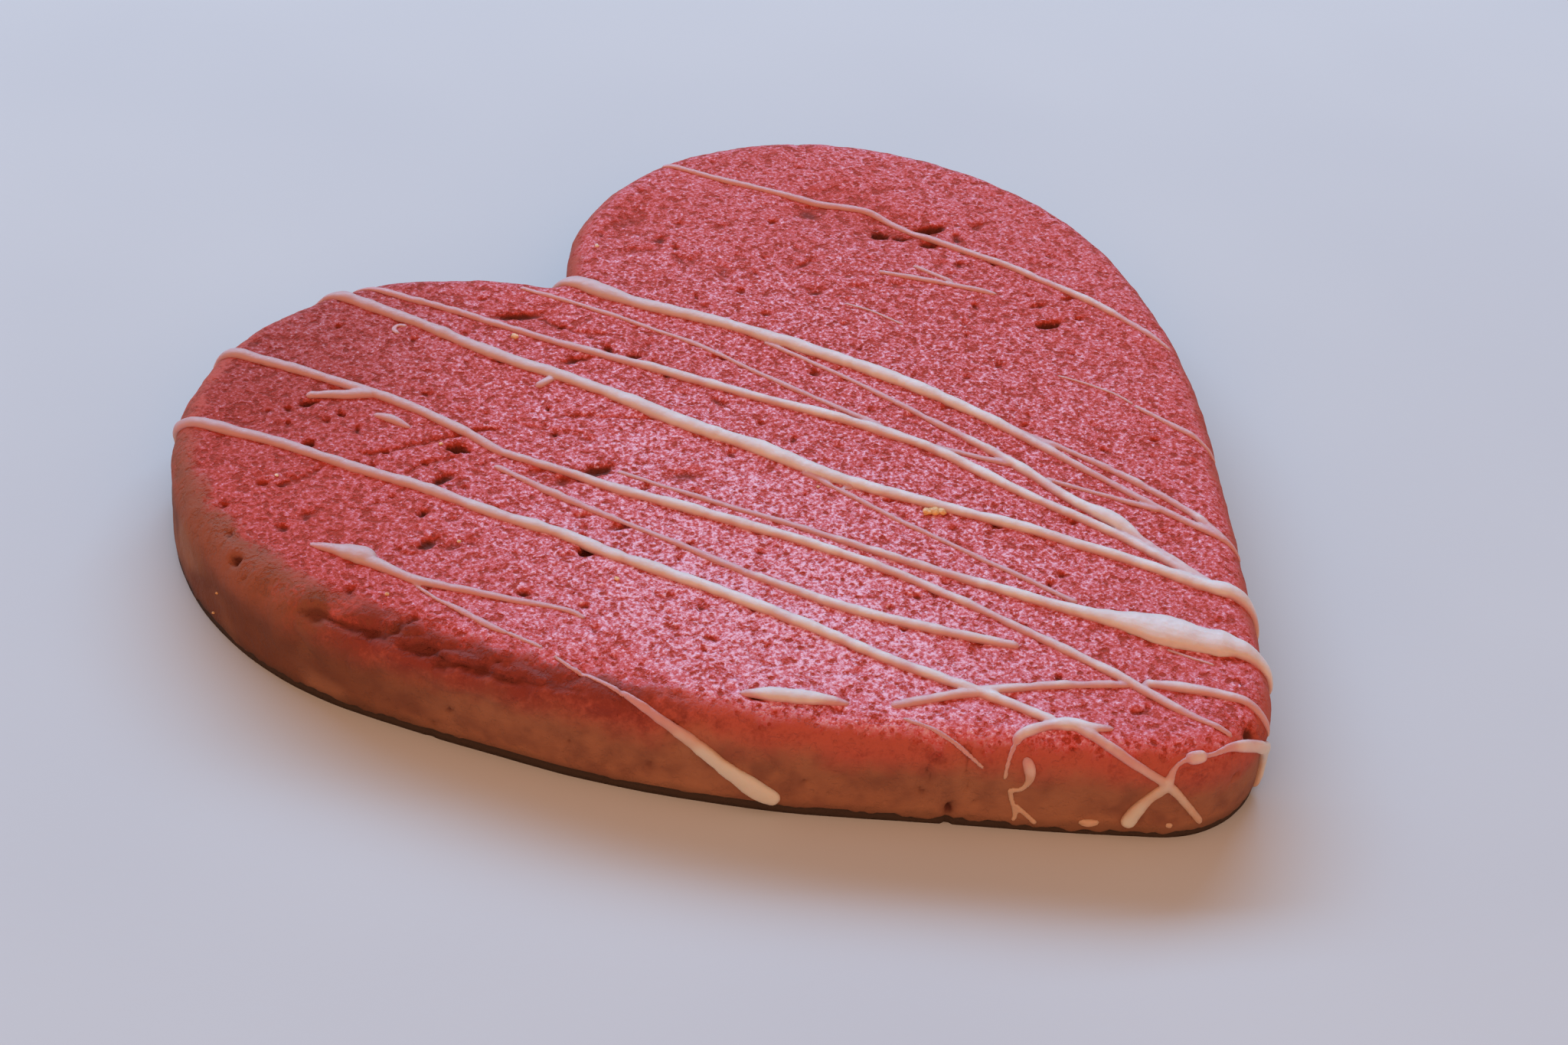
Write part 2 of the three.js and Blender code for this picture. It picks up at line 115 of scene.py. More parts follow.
# Holes, pits and craters with steep sides.
PITS = (
    # Left lobe.
    (-49, 19.6, 0.45, 0.4, 0, 1),
    (-31.5, 33.3, 0.7, 0.4, -10, 0.8),
    (-30.2, 30.3, 0.3, 0.3, 0, 0.7),
    (-28.7, 33.7, 0.5, 0.25, -30, 0.5),
    (-35, 28.3, 0.45, 0.4, -20, 0.9),
    (-25.2, 20.2, 0.9, 0.5, -60, 1),
    (-30.5, 23.6, 0.35, 0.3, -20, 0.5),
    (-28.8, 20.3, 0.3, 0.3, 0, 0.5),
    (-33.7, 23.9, 0.45, 0.25, -20, 0.5),
    (-32.7, 22.8, 0.4, 0.3, 0, 0.3),
    (-29.1, 17.6, 1.2, 0.5, 0, 0.5),
    (-28.3, 15.4, 0.35, 0.3, 0, 0.3),
    (-41.4, 26.1, 0.6, 0.3, -10, 0.3),
    (-40.1, 25, 0.6, 0.4, 0, 0.35),
    (-34, 18.2, 0.25, 0.2, 0, 0.4),
    (-33.2, 14.9, 0.5, 0.4, 10, 0.45),
    (-31.8, 12.8, 0.35, 0.3, 0, 0.3),
    (-41.1, 20.4, 0.7, 0.5, 20, 0.3),
    (-45.8, 25.5, 0.6, 0.3, -10, 0.3),
    (-35.5, 11.4, 1.1, 0.6, -5, 0.5),
    (-34, 9.9, 0.9, 0.6, -30, 0.3),
    (-32.5, 9.3, 0.5, 0.5, -10, 0.3),
    (-25.7, 2.6, 0.7, 0.5, -5, 0.9),
    (-24.6, 4.5, 0.5, 0.4, -40, 0.5),
    (-27.4, 3.1, 0.9, 0.3, -30, 0.25),
    (-33.4, 1.5, 0.4, 0.35, -20, 0.5),
    (-30.5, -2.8, 0.4, 0.4, 0, 0.35),
    (-21.2, 3.4, 1, 0.5, -30, 0.35),
    (-22.8, 6.5, 0.8, 0.4, -30, 0.3),
    (-27.9, 11.6, 0.6, 0.3, -15, 0.3),
    (-26.8, -9.3, 0.8, 0.4, -125, 0.2),
    (-24.3, -6.2, 0.8, 0.4, -30, 0.2),
    (-27.9, -1.7, 0.5, 0.4, -15, 0.2),
    (-8.1, 24.6, 1.4, 0.4, -20, 0.4),
    (-17.5, 10.6, 1.5, 0.7, -15, 0.55),
    (-12.1, 5.6, 1.7, 0.8, -25, 0.3),
    (-16, 6.2, 0.6, 0.35, -10, 0.3),
    (-21, 11.3, 1.3, 0.8, -15, 0.3),
    (-22.1, 13.6, 1, 0.5, -15, 0.25),
    (-14.9, 20.2, 0.25, 0.2, 0, 0.4),
    (-17.2, 16.8, 0.25, 0.2, -20, 0.5),
    # Between the lobes.
    (-7.5, 33.5, 2.3, 0.5, -30, 0.4),
    (-5.5, 29.5, 0.5, 0.4, -10, 0.5),
    (-4.5, 24.1, 0.8, 0.4, -90, 0.5),
    (-3.4, 21.9, 0.8, 0.5, 0, 0.5),
    (-1, 22.6, 1, 0.4, 40, 0.25),
    (-2.9, 17.6, 0.5, 0.25, -20, 0.4),
    (-2.1, 12.2, 0.5, 0.55, -15, 0.3),
    (-6.6, 5.3, 0.5, 0.5, -10, 0.3),
    (1.7, 0.4, 0.4, 0.4, -15, 0.25),
    # Right lobe.
    (12.1, 40.5, 2.4, 0.7, 5, 0.12),
    (8.2, 39.9, 0.4, 0.4, 15, 0.3),
    (12, 35.6, 0.7, 0.6, 15, 0.35),
    (8.6, 35.6, 2.2, 0.6, -20, 0.2),
    (11.3, 31.6, 1, 0.5, -110, 0.25),
    (12.2, 30.9, 1.2, 0.6, 15, 0.25),
    (13.4, 27.9, 1.3, 0.7, -115, 0.25),
    (16.3, 28.8, 0.6, 0.6, -50, 0.2),
    (20.6, 24, 1.7, 0.4, -5, 0.3),
    (27.8, 30.9, 1.2, 1, -75, 0.24),
    (31, 23.7, 0.8, 0.6, -10, 1),
    (32.4, 22, 0.9, 0.4, -25, 0.5),
    (35.7, 21.4, 1.5, 0.6, -15, 1),
    (18, 19.8, 0.8, 0.6, -15, 0.35),
    (22.1, 17.8, 1.4, 0.35, -40, 0.2),
    (33.5, 19.4, 0.9, 0.6, -40, 0.45),
    (36.6, 18.3, 0.6, 0.5, -20, 0.35),
    (39.8, 18.9, 0.8, 0.6, -25, 0.25),
    (31.8, 16.1, 0.7, 0.6, -20, 0.2),
    (25.1, 16, 0.9, 0.5, -25, 0.2),
    (33.8, 5.2, 0.8, 0.4, -25, 0.35),
    (37.3, 4.2, 0.6, 0.4, -20, 0.25),
    (35.6, 1.3, 0.5, 0.35, -20, 0.35),
    (32.4, 2.4, 1.2, 0.5, -25, 0.9),
    # Tip.
    (-4.2, -39.6, 0.7, 0.4, -15, 0.3),
    (1.6, -46.9, 0.7, 0.6, -15, 0.6),
    (5.4, -42.4, 0.25, 0.3, -15, 0.3),
    # Torn places along the rim of the left side.
    (-48, 10.4, 1.4, 0.7, -60, 0.42),
    (-46.7, 7.4, 1.2, 0.5, -60, 0.35),
    (-45.7, 5.5, 0.9, 0.6, -60, 0.5),
    (-43.8, 1.6, 1.2, 0.7, -55, 0.55),
    (-44, -0.5, 0.7, 0.5, -60, 0.45),
    (-41.8, -3.2, 0.8, 0.6, -55, 0.5),
    (-40.2, -3.4, 0.4, 0.35, -50, 0.4),
    (-41, -5.1, 1.3, 0.4, -58, 0.5),
    (-38.4, -8.3, 1, 0.5, -55, 0.3),
    (-37.6, -6.6, 0.5, 0.3, -55, 0.25),
    (-41.6, -12.4, 0.4, 0.35, 0, 0.3),
    (-31.8, -15.4, 1, 0.4, -55, 0.25),
    (-27.2, -19.4, 0.8, 0.4, -50, 0.3),
    (-23.2, -24.8, 0.7, 0.4, -60, 0.25),
    (-21.4, -33.4, 1.3, 0.3, -120, 0.3),
    # A nick in the foot of the wall.
    (-22.8, -37.7, 0.45, 0.9, -50, 0.9),
)

# Cracks in the top as a half width, a depth and the places that they run through.
CRACKS = (
    (0.22, 0.3, ((-32.4, 24.5), (-30.5, 23.6), (-29, 23.3), (-27.4, 22.9), (-25.4, 22.2), (-23.7, 21.7))),
    (0.2, 0.25, ((-30.8, 20), (-29, 20.4), (-27.2, 19.7), (-25.8, 19.4))),
    (0.22, 0.25, ((-39.6, 25), (-37.8, 24.7), (-36.2, 25))),
    (0.25, 0.35, ((-22.4, 21.5), (-21.5, 20.9), (-20.5, 20.4))),
    (0.3, 0.2, ((-18.8, 20), (-17.4, 18), (-16.4, 16.4), (-15.2, 15.2))),
    (0.18, 0.22, ((-14.4, 18.4), (-12.6, 16.8), (-10.4, 14.9), (-8.6, 13.5))),
    (0.3, 0.25, ((-6, 31.8), (-5.6, 29.8), (-5, 28.4), (-3.2, 26.2))),
    (0.2, 0.2, ((-38.2, 11.7), (-37.2, 11), (-36.6, 10.5))),
    (0.35, 0.45, ((-45.2, 4.9), (-44.4, 4.5), (-43.2, 4.6), (-42, 4.3))),
    (0.25, 0.3, ((-35, -17.5), (-33.8, -17), (-32, -18.6))),
    (0.28, 0.42, ((-48.4, 10.6), (-47.4, 9.6), (-47.2, 8), (-45.8, 6), (-45.5, 4.4))),
    (0.3, 0.5, ((-44.9, 3), (-44.4, 1.4), (-43.2, 0.4), (-43.3, -1.2), (-42, -2.6), (-41.4, -4.2))),
    (0.25, 0.35, ((-41, -5.2), (-40, -6), (-39.4, -7.4), (-38, -8.6), (-37.2, -10.2))),
    (0.22, 0.3, ((-17.6, -33.3), (-18.2, -34.3), (-19.2, -35.5), (-20, -36.6))),
)

# A stretch of the rim where the dough is rougher: middle, half length, half width, angle.
ROUGH_RIM = (-41.5 * MM, -1.5 * MM, 17 * MM, 4.5 * MM, -57)

# The dough ends in a ragged lip above the foot, which stands a little further in; the material paints the
# foot dark as shade under the lip on a darker crust.
LIP_ROUND = 0.12 * MM
FOOT_INSET = 0.16 * MM

# A stretch of the wall that leans out towards its foot: middle, half length, angle, how far.
LEANING_WALL = (-32 * MM, -19 * MM, 15 * MM, -57, 0.45 * MM)

# Sizes of the lumps in the dough, from the widest to the grains of the crumb.
SWELL_SIZE = 6 * MM
FOLD_SIZE = 3.1 * MM
CRAG_SIZE = 2.6 * MM
LUMP_SIZE = 2.2 * MM
GRAIN_SIZE = 1.0 * MM
FINE_GRAIN_SIZE = 0.55 * MM

# Depths at which a pit and a dent show the full painted shade of a hollow.
FULL_PIT = 0.5 * MM
FULL_DENT = 1.6 * MM


def turned(x, y, middle_x, middle_y, angle):
    """Places seen from a middle point along a direction in degrees and across it."""
    turn = math.radians(angle)
    dx, dy = x - middle_x, y - middle_y
    along = dx * math.cos(turn) + dy * math.sin(turn)
    across = dy * math.cos(turn) - dx * math.sin(turn)
    return along, across


def heart_side(rise, arcs, step):
    """Rows of x, y and the outward normal down one side of the heart, from the notch to the tip."""
    rows = [(0.0, NOTCH_Y, 0.0, 1.0)]
    heading = 0.0

    def bend(radius, turn):
        nonlocal heading
        x, y = rows[-1][:2]
        hand = math.copysign(1.0, turn)
        middle_x = x + hand * radius * math.sin(heading)
        middle_y = y - hand * radius * math.cos(heading)
        steps = math.ceil(radius * abs(turn) / step)
        for i in range(1, steps + 1):
            angle = heading - turn * i / steps
            nx, ny = -math.sin(angle), math.cos(angle)
            rows.append((middle_x + hand * radius * nx, middle_y + hand * radius * ny, nx, ny))
        heading -= turn

    bend(NOTCH_ROUND, -math.radians(rise))
    for radius, degrees in arcs:
        bend(radius * MM, math.radians(degrees))
    bend(-rows[-1][0] / math.sin(heading), heading + math.pi)
    return np.array(rows)


def heart_outline(step):
    """The whole outline, clockwise from the notch. The left side is stretched by a hair so that
    both sides reach the same tip."""
    right = heart_side(RIGHT_RISE, RIGHT_ARCS, step)
    left = heart_side(LEFT_RISE, LEFT_ARCS, step)
    stretch = (NOTCH_Y - right[-1, 1]) / (NOTCH_Y - left[-1, 1])
    left = left[1:-1] * (-1, 1, -1, 1)
    left[:, 1] = NOTCH_Y + (left[:, 1] - NOTCH_Y) * stretch
    return np.vstack((right, left[::-1]))


OUTLINE_STEP = 1.0 * MM
OUTLINE = heart_outline(OUTLINE_STEP)


def slide_along(places, station):
    """Moves a station on the outline, counted in facets, to where the normal runs through the place.
    The normal turns evenly along a facet, so the outline acts as a smooth curve. Gives rows of the
    point and its outward normal, and how far outside the outline the place lies. Where the normals
    meet, deep inside, the station stays where it is."""
    start, normals = OUTLINE[:, :2], OUTLINE[:, 2:]
    span = np.roll(start, -1, axis=0) - start
    turn = np.roll(normals, -1, axis=0) - normals
    least_spread = 0.3
    longest_move = 0.7
    for rounds_left in (4, 3, 2, 1, 0):
        facet = np.floor(station).astype(int)
        part = (station - facet)[:, None]
        facet %= len(start)
        point = start[facet] + span[facet] * part
        normal = normals[facet] + turn[facet] * part
        normal /= np.linalg.norm(normal, axis=1)[:, None]
        out = ((places - point) * normal).sum(axis=1)
        if rounds_left == 0:
            return np.hstack((point, normal)), out
        onward = np.column_stack((normal[:, 1], -normal[:, 0]))
        size = np.linalg.norm(span[facet], axis=1)
        spread = 1 + (turn[facet] * onward).sum(axis=1) / size * out
        move = ((places - point) * onward).sum(axis=1) / size / np.maximum(spread, least_spread)
        settled = (spread < least_spread) | (out < -1.1 * TOP_ROUND)
        station = station + np.where(settled, 0, np.clip(move, -longest_move, longest_move))


def nearest_edge(x, y):
    """For each place, the nearest point of the outline and its outward normal, as rows, and how far
    outside the outline the place lies."""
    start = OUTLINE[:, :2]
    span = np.roll(start, -1, axis=0) - start
    length2 = (span**2).sum(axis=1)
    places = np.column_stack((x, y))
    edges = np.empty((len(places), 4))
    outs = np.empty(len(places))
    chunk = 4000
    for first in range(0, len(places), chunk):
        some = places[first : first + chunk]
        to_x = some[:, 0, None] - start[:, 0]
        to_y = some[:, 1, None] - start[:, 1]
        share = np.clip((to_x * span[:, 0] + to_y * span[:, 1]) / length2, 0, 1)
        gap2 = (to_x - share * span[:, 0]) ** 2 + (to_y - share * span[:, 1]) ** 2
        best = gap2.argmin(axis=1)
        station = best + share[np.arange(len(some)), best]
        edges[first : first + chunk], outs[first : first + chunk] = slide_along(some, station)
    return edges, outs


def wrap_down(edge, over, lift):
    """Points beside the outline rows "edge", "over" past the edge of the flat top, measured along
    the surface, and "lift" above it. Past the rounding they run down the wall and under the base."""
    turn = np.clip(over / TOP_ROUND, 0, math.pi / 2)
    drop = np.clip(over - ROUND_END, 0, WALL_END - ROUND_END)
    under = np.clip((over - WALL_END) / BASE_ROUND, 0, math.pi / 2)
    side = (TOP_ROUND + lift) * np.sin(turn) - TOP_ROUND - (BASE_ROUND + lift) * (1 - np.cos(under))
    z = THICKNESS - TOP_ROUND + (TOP_ROUND + lift) * np.cos(turn) - drop
    z = z - (BASE_ROUND + lift) * np.sin(under)
    return np.column_stack((edge[:, 0] + edge[:, 2] * side, edge[:, 1] + edge[:, 3] * side, z))


def fold(x, y, lift):
    """Points "lift" above the biscuit at places on the cookie as if its edge were folded out flat,
    and how far past the flat top each one lies."""
    edge, out = nearest_edge(x, y)
    over = out + TOP_ROUND
    points = wrap_down(edge, over, lift)
    flat = over <= 0
    points[flat] = np.column_stack((x, y, THICKNESS + lift))[flat]
    return points, over


def in_place(points):
    """Points moved from the heart's own axes to the middle of the footprint, none of them outside
    the frame's box."""
    return np.clip(points + (*CENTRING, 0), *CAD_BOX)


def noise_at(points, size, seed):
    """Smooth noise between about -1 and 1 with lumps of one size."""
    shift = Vector((seed * 7.31, seed * 3.17, seed * 5.03))
    return np.array([noise.noise(Vector(p) / size + shift) for p in points])


def ellipse_share(x, y, row):
    """Squared distance from the middle of a dent or pit, in its half sizes."""
    along, across = turned(x, y, row[0] * MM, row[1] * MM, row[4])
    return (along / (row[2] * MM)) ** 2 + (across / (row[3] * MM)) ** 2


def dent_depth(x, y):
    """Depth of the shallow dents at places on the folded-out cookie."""
    depth = np.zeros(len(x))
    for row in DENTS:
        depth += row[5] * MM * np.exp(-ellipse_share(x, y, row))
    return depth


def crack_distance(x, y, places):
    """Distance from a bent line."""
    best = np.full(len(x), np.inf)
    for (ax, ay), (bx, by) in zip(places, places[1:]):
        ax, ay, bx, by = ax * MM, ay * MM, bx * MM, by * MM
        dx, dy = bx - ax, by - ay
        share = np.clip(((x - ax) * dx + (y - ay) * dy) / (dx * dx + dy * dy), 0, 1)
        best = np.minimum(best, np.hypot(x - ax - share * dx, y - ay - share * dy))
    return best


def small_pits(count, seed):
    """Rows for small pits scattered over the top, in millimetres."""
    reach = 50
    usual_size = 0.4
    draw = random.Random(seed)
    rows = []
    for _ in range(count):
        x, y = draw.uniform(-reach, reach), draw.uniform(-reach, reach)
        size = draw.uniform(0.22, 0.5)
        stretch = draw.uniform(0.6, 1)
        depth = draw.uniform(0.12, 0.34) * size / usual_size
        rows.append((x, y, size, size * stretch, draw.uniform(0, 180), depth))
    return rows


def hollow_depth(x, y, pits):
    """Depth of the pits and cracks at places on the folded-out cookie."""
    places = np.column_stack((x, y, np.zeros(len(x))))
    ragged = 0.3 * MM
    x = x + ragged * (noise_at(places, 0.9 * MM, 1) + 0.6 * noise_at(places, 0.4 * MM, 12))
    y = y + ragged * (noise_at(places, 0.9 * MM, 2) + 0.6 * noise_at(places, 0.4 * MM, 13))
    widest = 4  # half lengths from the middle within which a pit is felt
    steep = 1.5
    deeper = 1.15  # makes up for what the cells between the points cut off
    depth = np.zeros(len(x))
    for row in pits:
        near = np.abs(x - row[0] * MM) + np.abs(y - row[1] * MM) < widest * row[2] * MM
        share = ellipse_share(x[near], y[near], row)
        depth[near] = np.maximum(depth[near], deeper * row[5] * MM * np.exp(-(share**steep)))
    for half_width, deep, line in CRACKS:
        away = crack_distance(x, y, line) / (half_width * MM)
        depth = np.maximum(depth, deep * MM * np.exp(-(away**2)))
    return depth


def foot_share(over):
    """1 over the top and the wall, fading a little towards the foot."""
    return np.clip((WALL_END - over) / (1.5 * MM), 0.4, 1)


def rough_share(x, y):
    """1 in the rougher stretch of the rim, fading to 0 away from it."""
    middle_x, middle_y, half_length, half_width, angle = ROUGH_RIM
    along, across = turned(x, y, middle_x, middle_y, angle)
    return np.exp(-((along / half_length) ** 4) - (across / half_width) ** 2)


def soft_relief(points, x, y, over, settings):
    """Height of the wide lumps in the dough, which the icing follows too. The points lie on the
    smooth biscuit."""
    swell = settings.swell * noise_at(points, SWELL_SIZE, 3)
    lumps = settings.lumps * noise_at(points, LUMP_SIZE, 4)
    rim = np.clip((over + 1.2 * MM) / (2 * MM), 0, 1) * np.clip((WALL_END - over) / (3 * MM), 0, 1)
    rough = rough_share(x, y)
    crags = settings.rim_lumps * (0.5 + 1.6 * rough) * rim
    fold_width = 0.13  # the creases run where the noise comes this near to 0
    folds = np.exp(-((noise_at(points, FOLD_SIZE, 10) / fold_width) ** 2))
    height = swell + lumps + crags * (noise_at(points, CRAG_SIZE, 5) - 0.15)
    height = height - settings.folds * rough * rim * folds
    middle_x, middle_y, reach, angle, far = LEANING_WALL
    along, _ = turned(x, y, middle_x, middle_y, angle)
    down_wall = np.clip((over - ROUND_END) / (WALL_END - ROUND_END), 0, 1)
    lean = far * down_wall * np.exp(-((along / reach) ** 4)) * (x < 0)
    return height * foot_share(over) - dent_depth(x, y) + lean


def shrink_of(over, settings):
    """How far the surface lies inside the ideal form, which is more down the wall."""
    return settings.shrink * (1 + np.clip(over / ROUND_END, 0, 1))


def crumb_relief(points, over, settings):
    """Height of the small grains of the crumb, finer than the icing notices."""
    grains = noise_at(points, GRAIN_SIZE, 6) + 0.8 * noise_at(points, FINE_GRAIN_SIZE, 7)
    smooth_wall = np.clip(1.3 - over / (7 * MM), 0.5, 1)
    return settings.grain * grains * foot_share(over) * smooth_wall


def lattice(cell):
    """Places of a triangular lattice over the whole heart, a little out of line."""
    reach = 52 * MM
    seed_step = 0.01 * MM
    rows = np.arange(-reach, reach, cell * math.sqrt(3) / 2)
    columns = np.arange(-reach, reach, cell)
    x, y = np.meshgrid(columns, rows)
    x[1::2] += cell / 2
    rng = np.random.default_rng(int(cell / seed_step))
    shake = 0.18 * cell
    x = x.ravel() + rng.uniform(-shake, shake, x.size)
    y = y.ravel() + rng.uniform(-shake, shake, y.size)
    return x, y


def top_places(rim, settings, pits):
    """Places on the flat top: the rim ring first, then the points inside it, closer together in
    the pits and cracks."""
    fine_from = 0.02 * MM
    kept = [rim]
    for cell, fine in ((settings.cell, False), (settings.cell / 2, True)):
        x, y = lattice(cell)
        _, out = nearest_edge(x, y)
        inside = out < -TOP_ROUND - 0.55 * settings.cell
        x, y = x[inside], y[inside]
        hollow = hollow_depth(x, y, pits) > fine_from
        wanted = hollow if fine else ~hollow
        kept.append(np.column_stack((x[wanted], y[wanted])))
    return np.vstack(kept)


def triangles_inside(places, rim_count):
    """Triangles over the places, inside the ring that the first of them make."""
    ring = list(range(rim_count))
    found = delaunay_2d_cdt([Vector(p) for p in places], [], [ring], 1, 1e-9)
    source = [ids[0] for ids in found[3]]
    return [tuple(source[i] for i in face) for face in found[2]]


def foot_rings(outline, settings):
    """Rings of the lip, the foot under it and the underside, which close in on the middle. The foot
    is highest along the middle of the left side."""
    x, y = outline[:, 0], outline[:, 1]
    lowest_foot = 0.08 * MM
    lowest_lip = 0.1 * MM
    left = np.clip((y / MM + 37) / 8, 0, 1) * np.clip((15 - y / MM) / 16, 0, 1) * (x < 0)
    ring = outline[:, :2]
    flat = np.column_stack((ring, np.zeros(len(ring))))
    nicks = noise_at(flat, 1.5 * MM, 9) + 0.8 * noise_at(flat, 0.7 * MM, 11)
    waves = 1 + 0.25 * noise_at(flat, 4 * MM, 8)
    lip = settings.foot * (0.55 + 0.45 * left) * waves + settings.nicks * nicks
    top = THICKNESS - TOP_ROUND - (WALL_END - ROUND_END)
    lip = np.clip(lip, lowest_foot, top - lowest_lip)
    rings = []

    def add_ring(inset, z):
        rings.append(np.column_stack((ring - outline[:, 2:] * np.reshape(inset, (-1, 1)), z + 0 * lip)))

    steps = 3
    for i in range(1, steps + 1):
        angle = math.pi / 2 * i / steps
        add_ring(LIP_ROUND * (1 - math.cos(angle)), lip + (top - lip) * (1 - math.sin(angle)))
    add_ring(FOOT_INSET, lip * 0.94)
    add_ring(FOOT_INSET, lip * 0.5)
    add_ring(FOOT_INSET * 0.6, 0)
    hub = np.array((0, 4 * MM))  # inside the heart, seen from every point of its outline
    last = rings[-1][:, :2]
    for share in (0.97, 0.6, 0.25):
        rings.append(np.column_stack((hub + (last - hub) * share, np.zeros(len(ring)))))
    return rings, np.array([(hub[0], hub[1], 0)])


def biscuit_mesh(settings):
    """The mesh of the biscuit, with the attributes "over", "hollow" and "crags" for its material."""
    pits = list(PITS) + small_pits(settings.small_pits, settings.seed)
    outline = heart_outline(settings.edge_cell)
    count = len(outline)

    # The top, with its rim ring first.
    rim = outline[:, :2] - outline[:, 2:] * TOP_ROUND
    top = top_places(rim, settings, pits)
    faces = triangles_inside(top, count)
    _, out = nearest_edge(top[:, 0], top[:, 1])
    over = np.minimum(out + TOP_ROUND, 0)
    over[:count] = 0
    smooth = np.column_stack((top, np.full(len(top), THICKNESS)))
    places = [top]
    overs = [over]
    edges = [np.column_stack((top, np.zeros((len(top), 2))))]
    smooths = [smooth]

    # Rings over the edge and down the wall.
    rings = math.ceil(WALL_END / settings.edge_cell)
    for i in range(1, rings + 1):
        past = WALL_END * i / rings
        over = np.full(count, past)
        places.append(outline[:, :2] + outline[:, 2:] * (past - TOP_ROUND))
        overs.append(over)
        edges.append(outline)
        smooths.append(wrap_down(outline, over, 0.0))
    places, overs = np.vstack(places), np.concatenate(overs)
    edges, smooths = np.vstack(edges), np.vstack(smooths)

    hollow = hollow_depth(places[:, 0], places[:, 1], pits)
    hollow *= np.clip((WALL_END + 0.4 * MM - overs) / (1 * MM), 0, 1)
    lift = soft_relief(smooths, places[:, 0], places[:, 1], overs, settings)
    lift += crumb_relief(smooths, overs, settings) - hollow - shrink_of(overs, settings)
    points = wrap_down(edges, overs, lift)
    flat = len(top)
    points[:flat] = smooths[:flat]
    points[:flat, 2] += lift[:flat]

    # The foot and the underside follow the last ring of the wall.
    foot = outline.copy()
    foot[:, :2] = points[-count:, :2]
    base, hub = foot_rings(foot, settings)
    points = np.vstack([points, *base, hub])

    def ring_start(ring):
        return 0 if ring == 0 else flat + (ring - 1) * count

    all_rings = rings + len(base)
    for ring in range(all_rings):
        a, b = ring_start(ring), ring_start(ring + 1)
        for i in range(count):
            j = (i + 1) % count
            faces.append((a + i, a + j, b + j, b + i))
    last = ring_start(all_rings)
    for i in range(count):
        faces.append((last + i, last + (i + 1) % count, len(points) - 1))

    points = in_place(points)
    mesh = bpy.data.meshes.new("biscuit")
    mesh.from_pydata(points, [], faces)
    extra = len(points) - len(overs)
    past_wall = (0.1, 0.2, 0.3, 1, 2, 3, 4, 5, 6)
    depth = np.repeat(past_wall, count) * MM + WALL_END
    set_attribute(mesh, "over", np.concatenate((overs, depth, [depth[-1]])) / MM)
    # This hollow share drives painted shade in the pits, cracks and dents.
    hollow_shade = hollow / FULL_PIT + dent_depth(places[:, 0], places[:, 1]) / FULL_DENT
    set_attribute(mesh, "hollow", np.concatenate((np.clip(hollow_shade, 0, 1), np.zeros(extra))))
    crags = rough_share(places[:, 0], places[:, 1])
    set_attribute(mesh, "crags", np.concatenate((crags, np.zeros(extra))))
    return mesh


def set_attribute(mesh, name, values):
    """Keeps one number for each vertex, for the materials to read."""
    mesh.attributes.new(name, "FLOAT", "POINT").data.foreach_set("value", np.asarray(values, "f"))


# ---------------------------------------------------------------------------------------------
# Form of the icing
# ---------------------------------------------------------------------------------------------

BEAD_RISE = 1.25 * MM  # height that the widest bead comes near to
BEAD_SPREAD = 2.6 * MM  # width over which the height levels off
FULL_WIDTH = 0.9 * MM  # a thinner bead is flatter still
BEAD_STEP = 0.25 * MM
BEAD_SIDES = 14

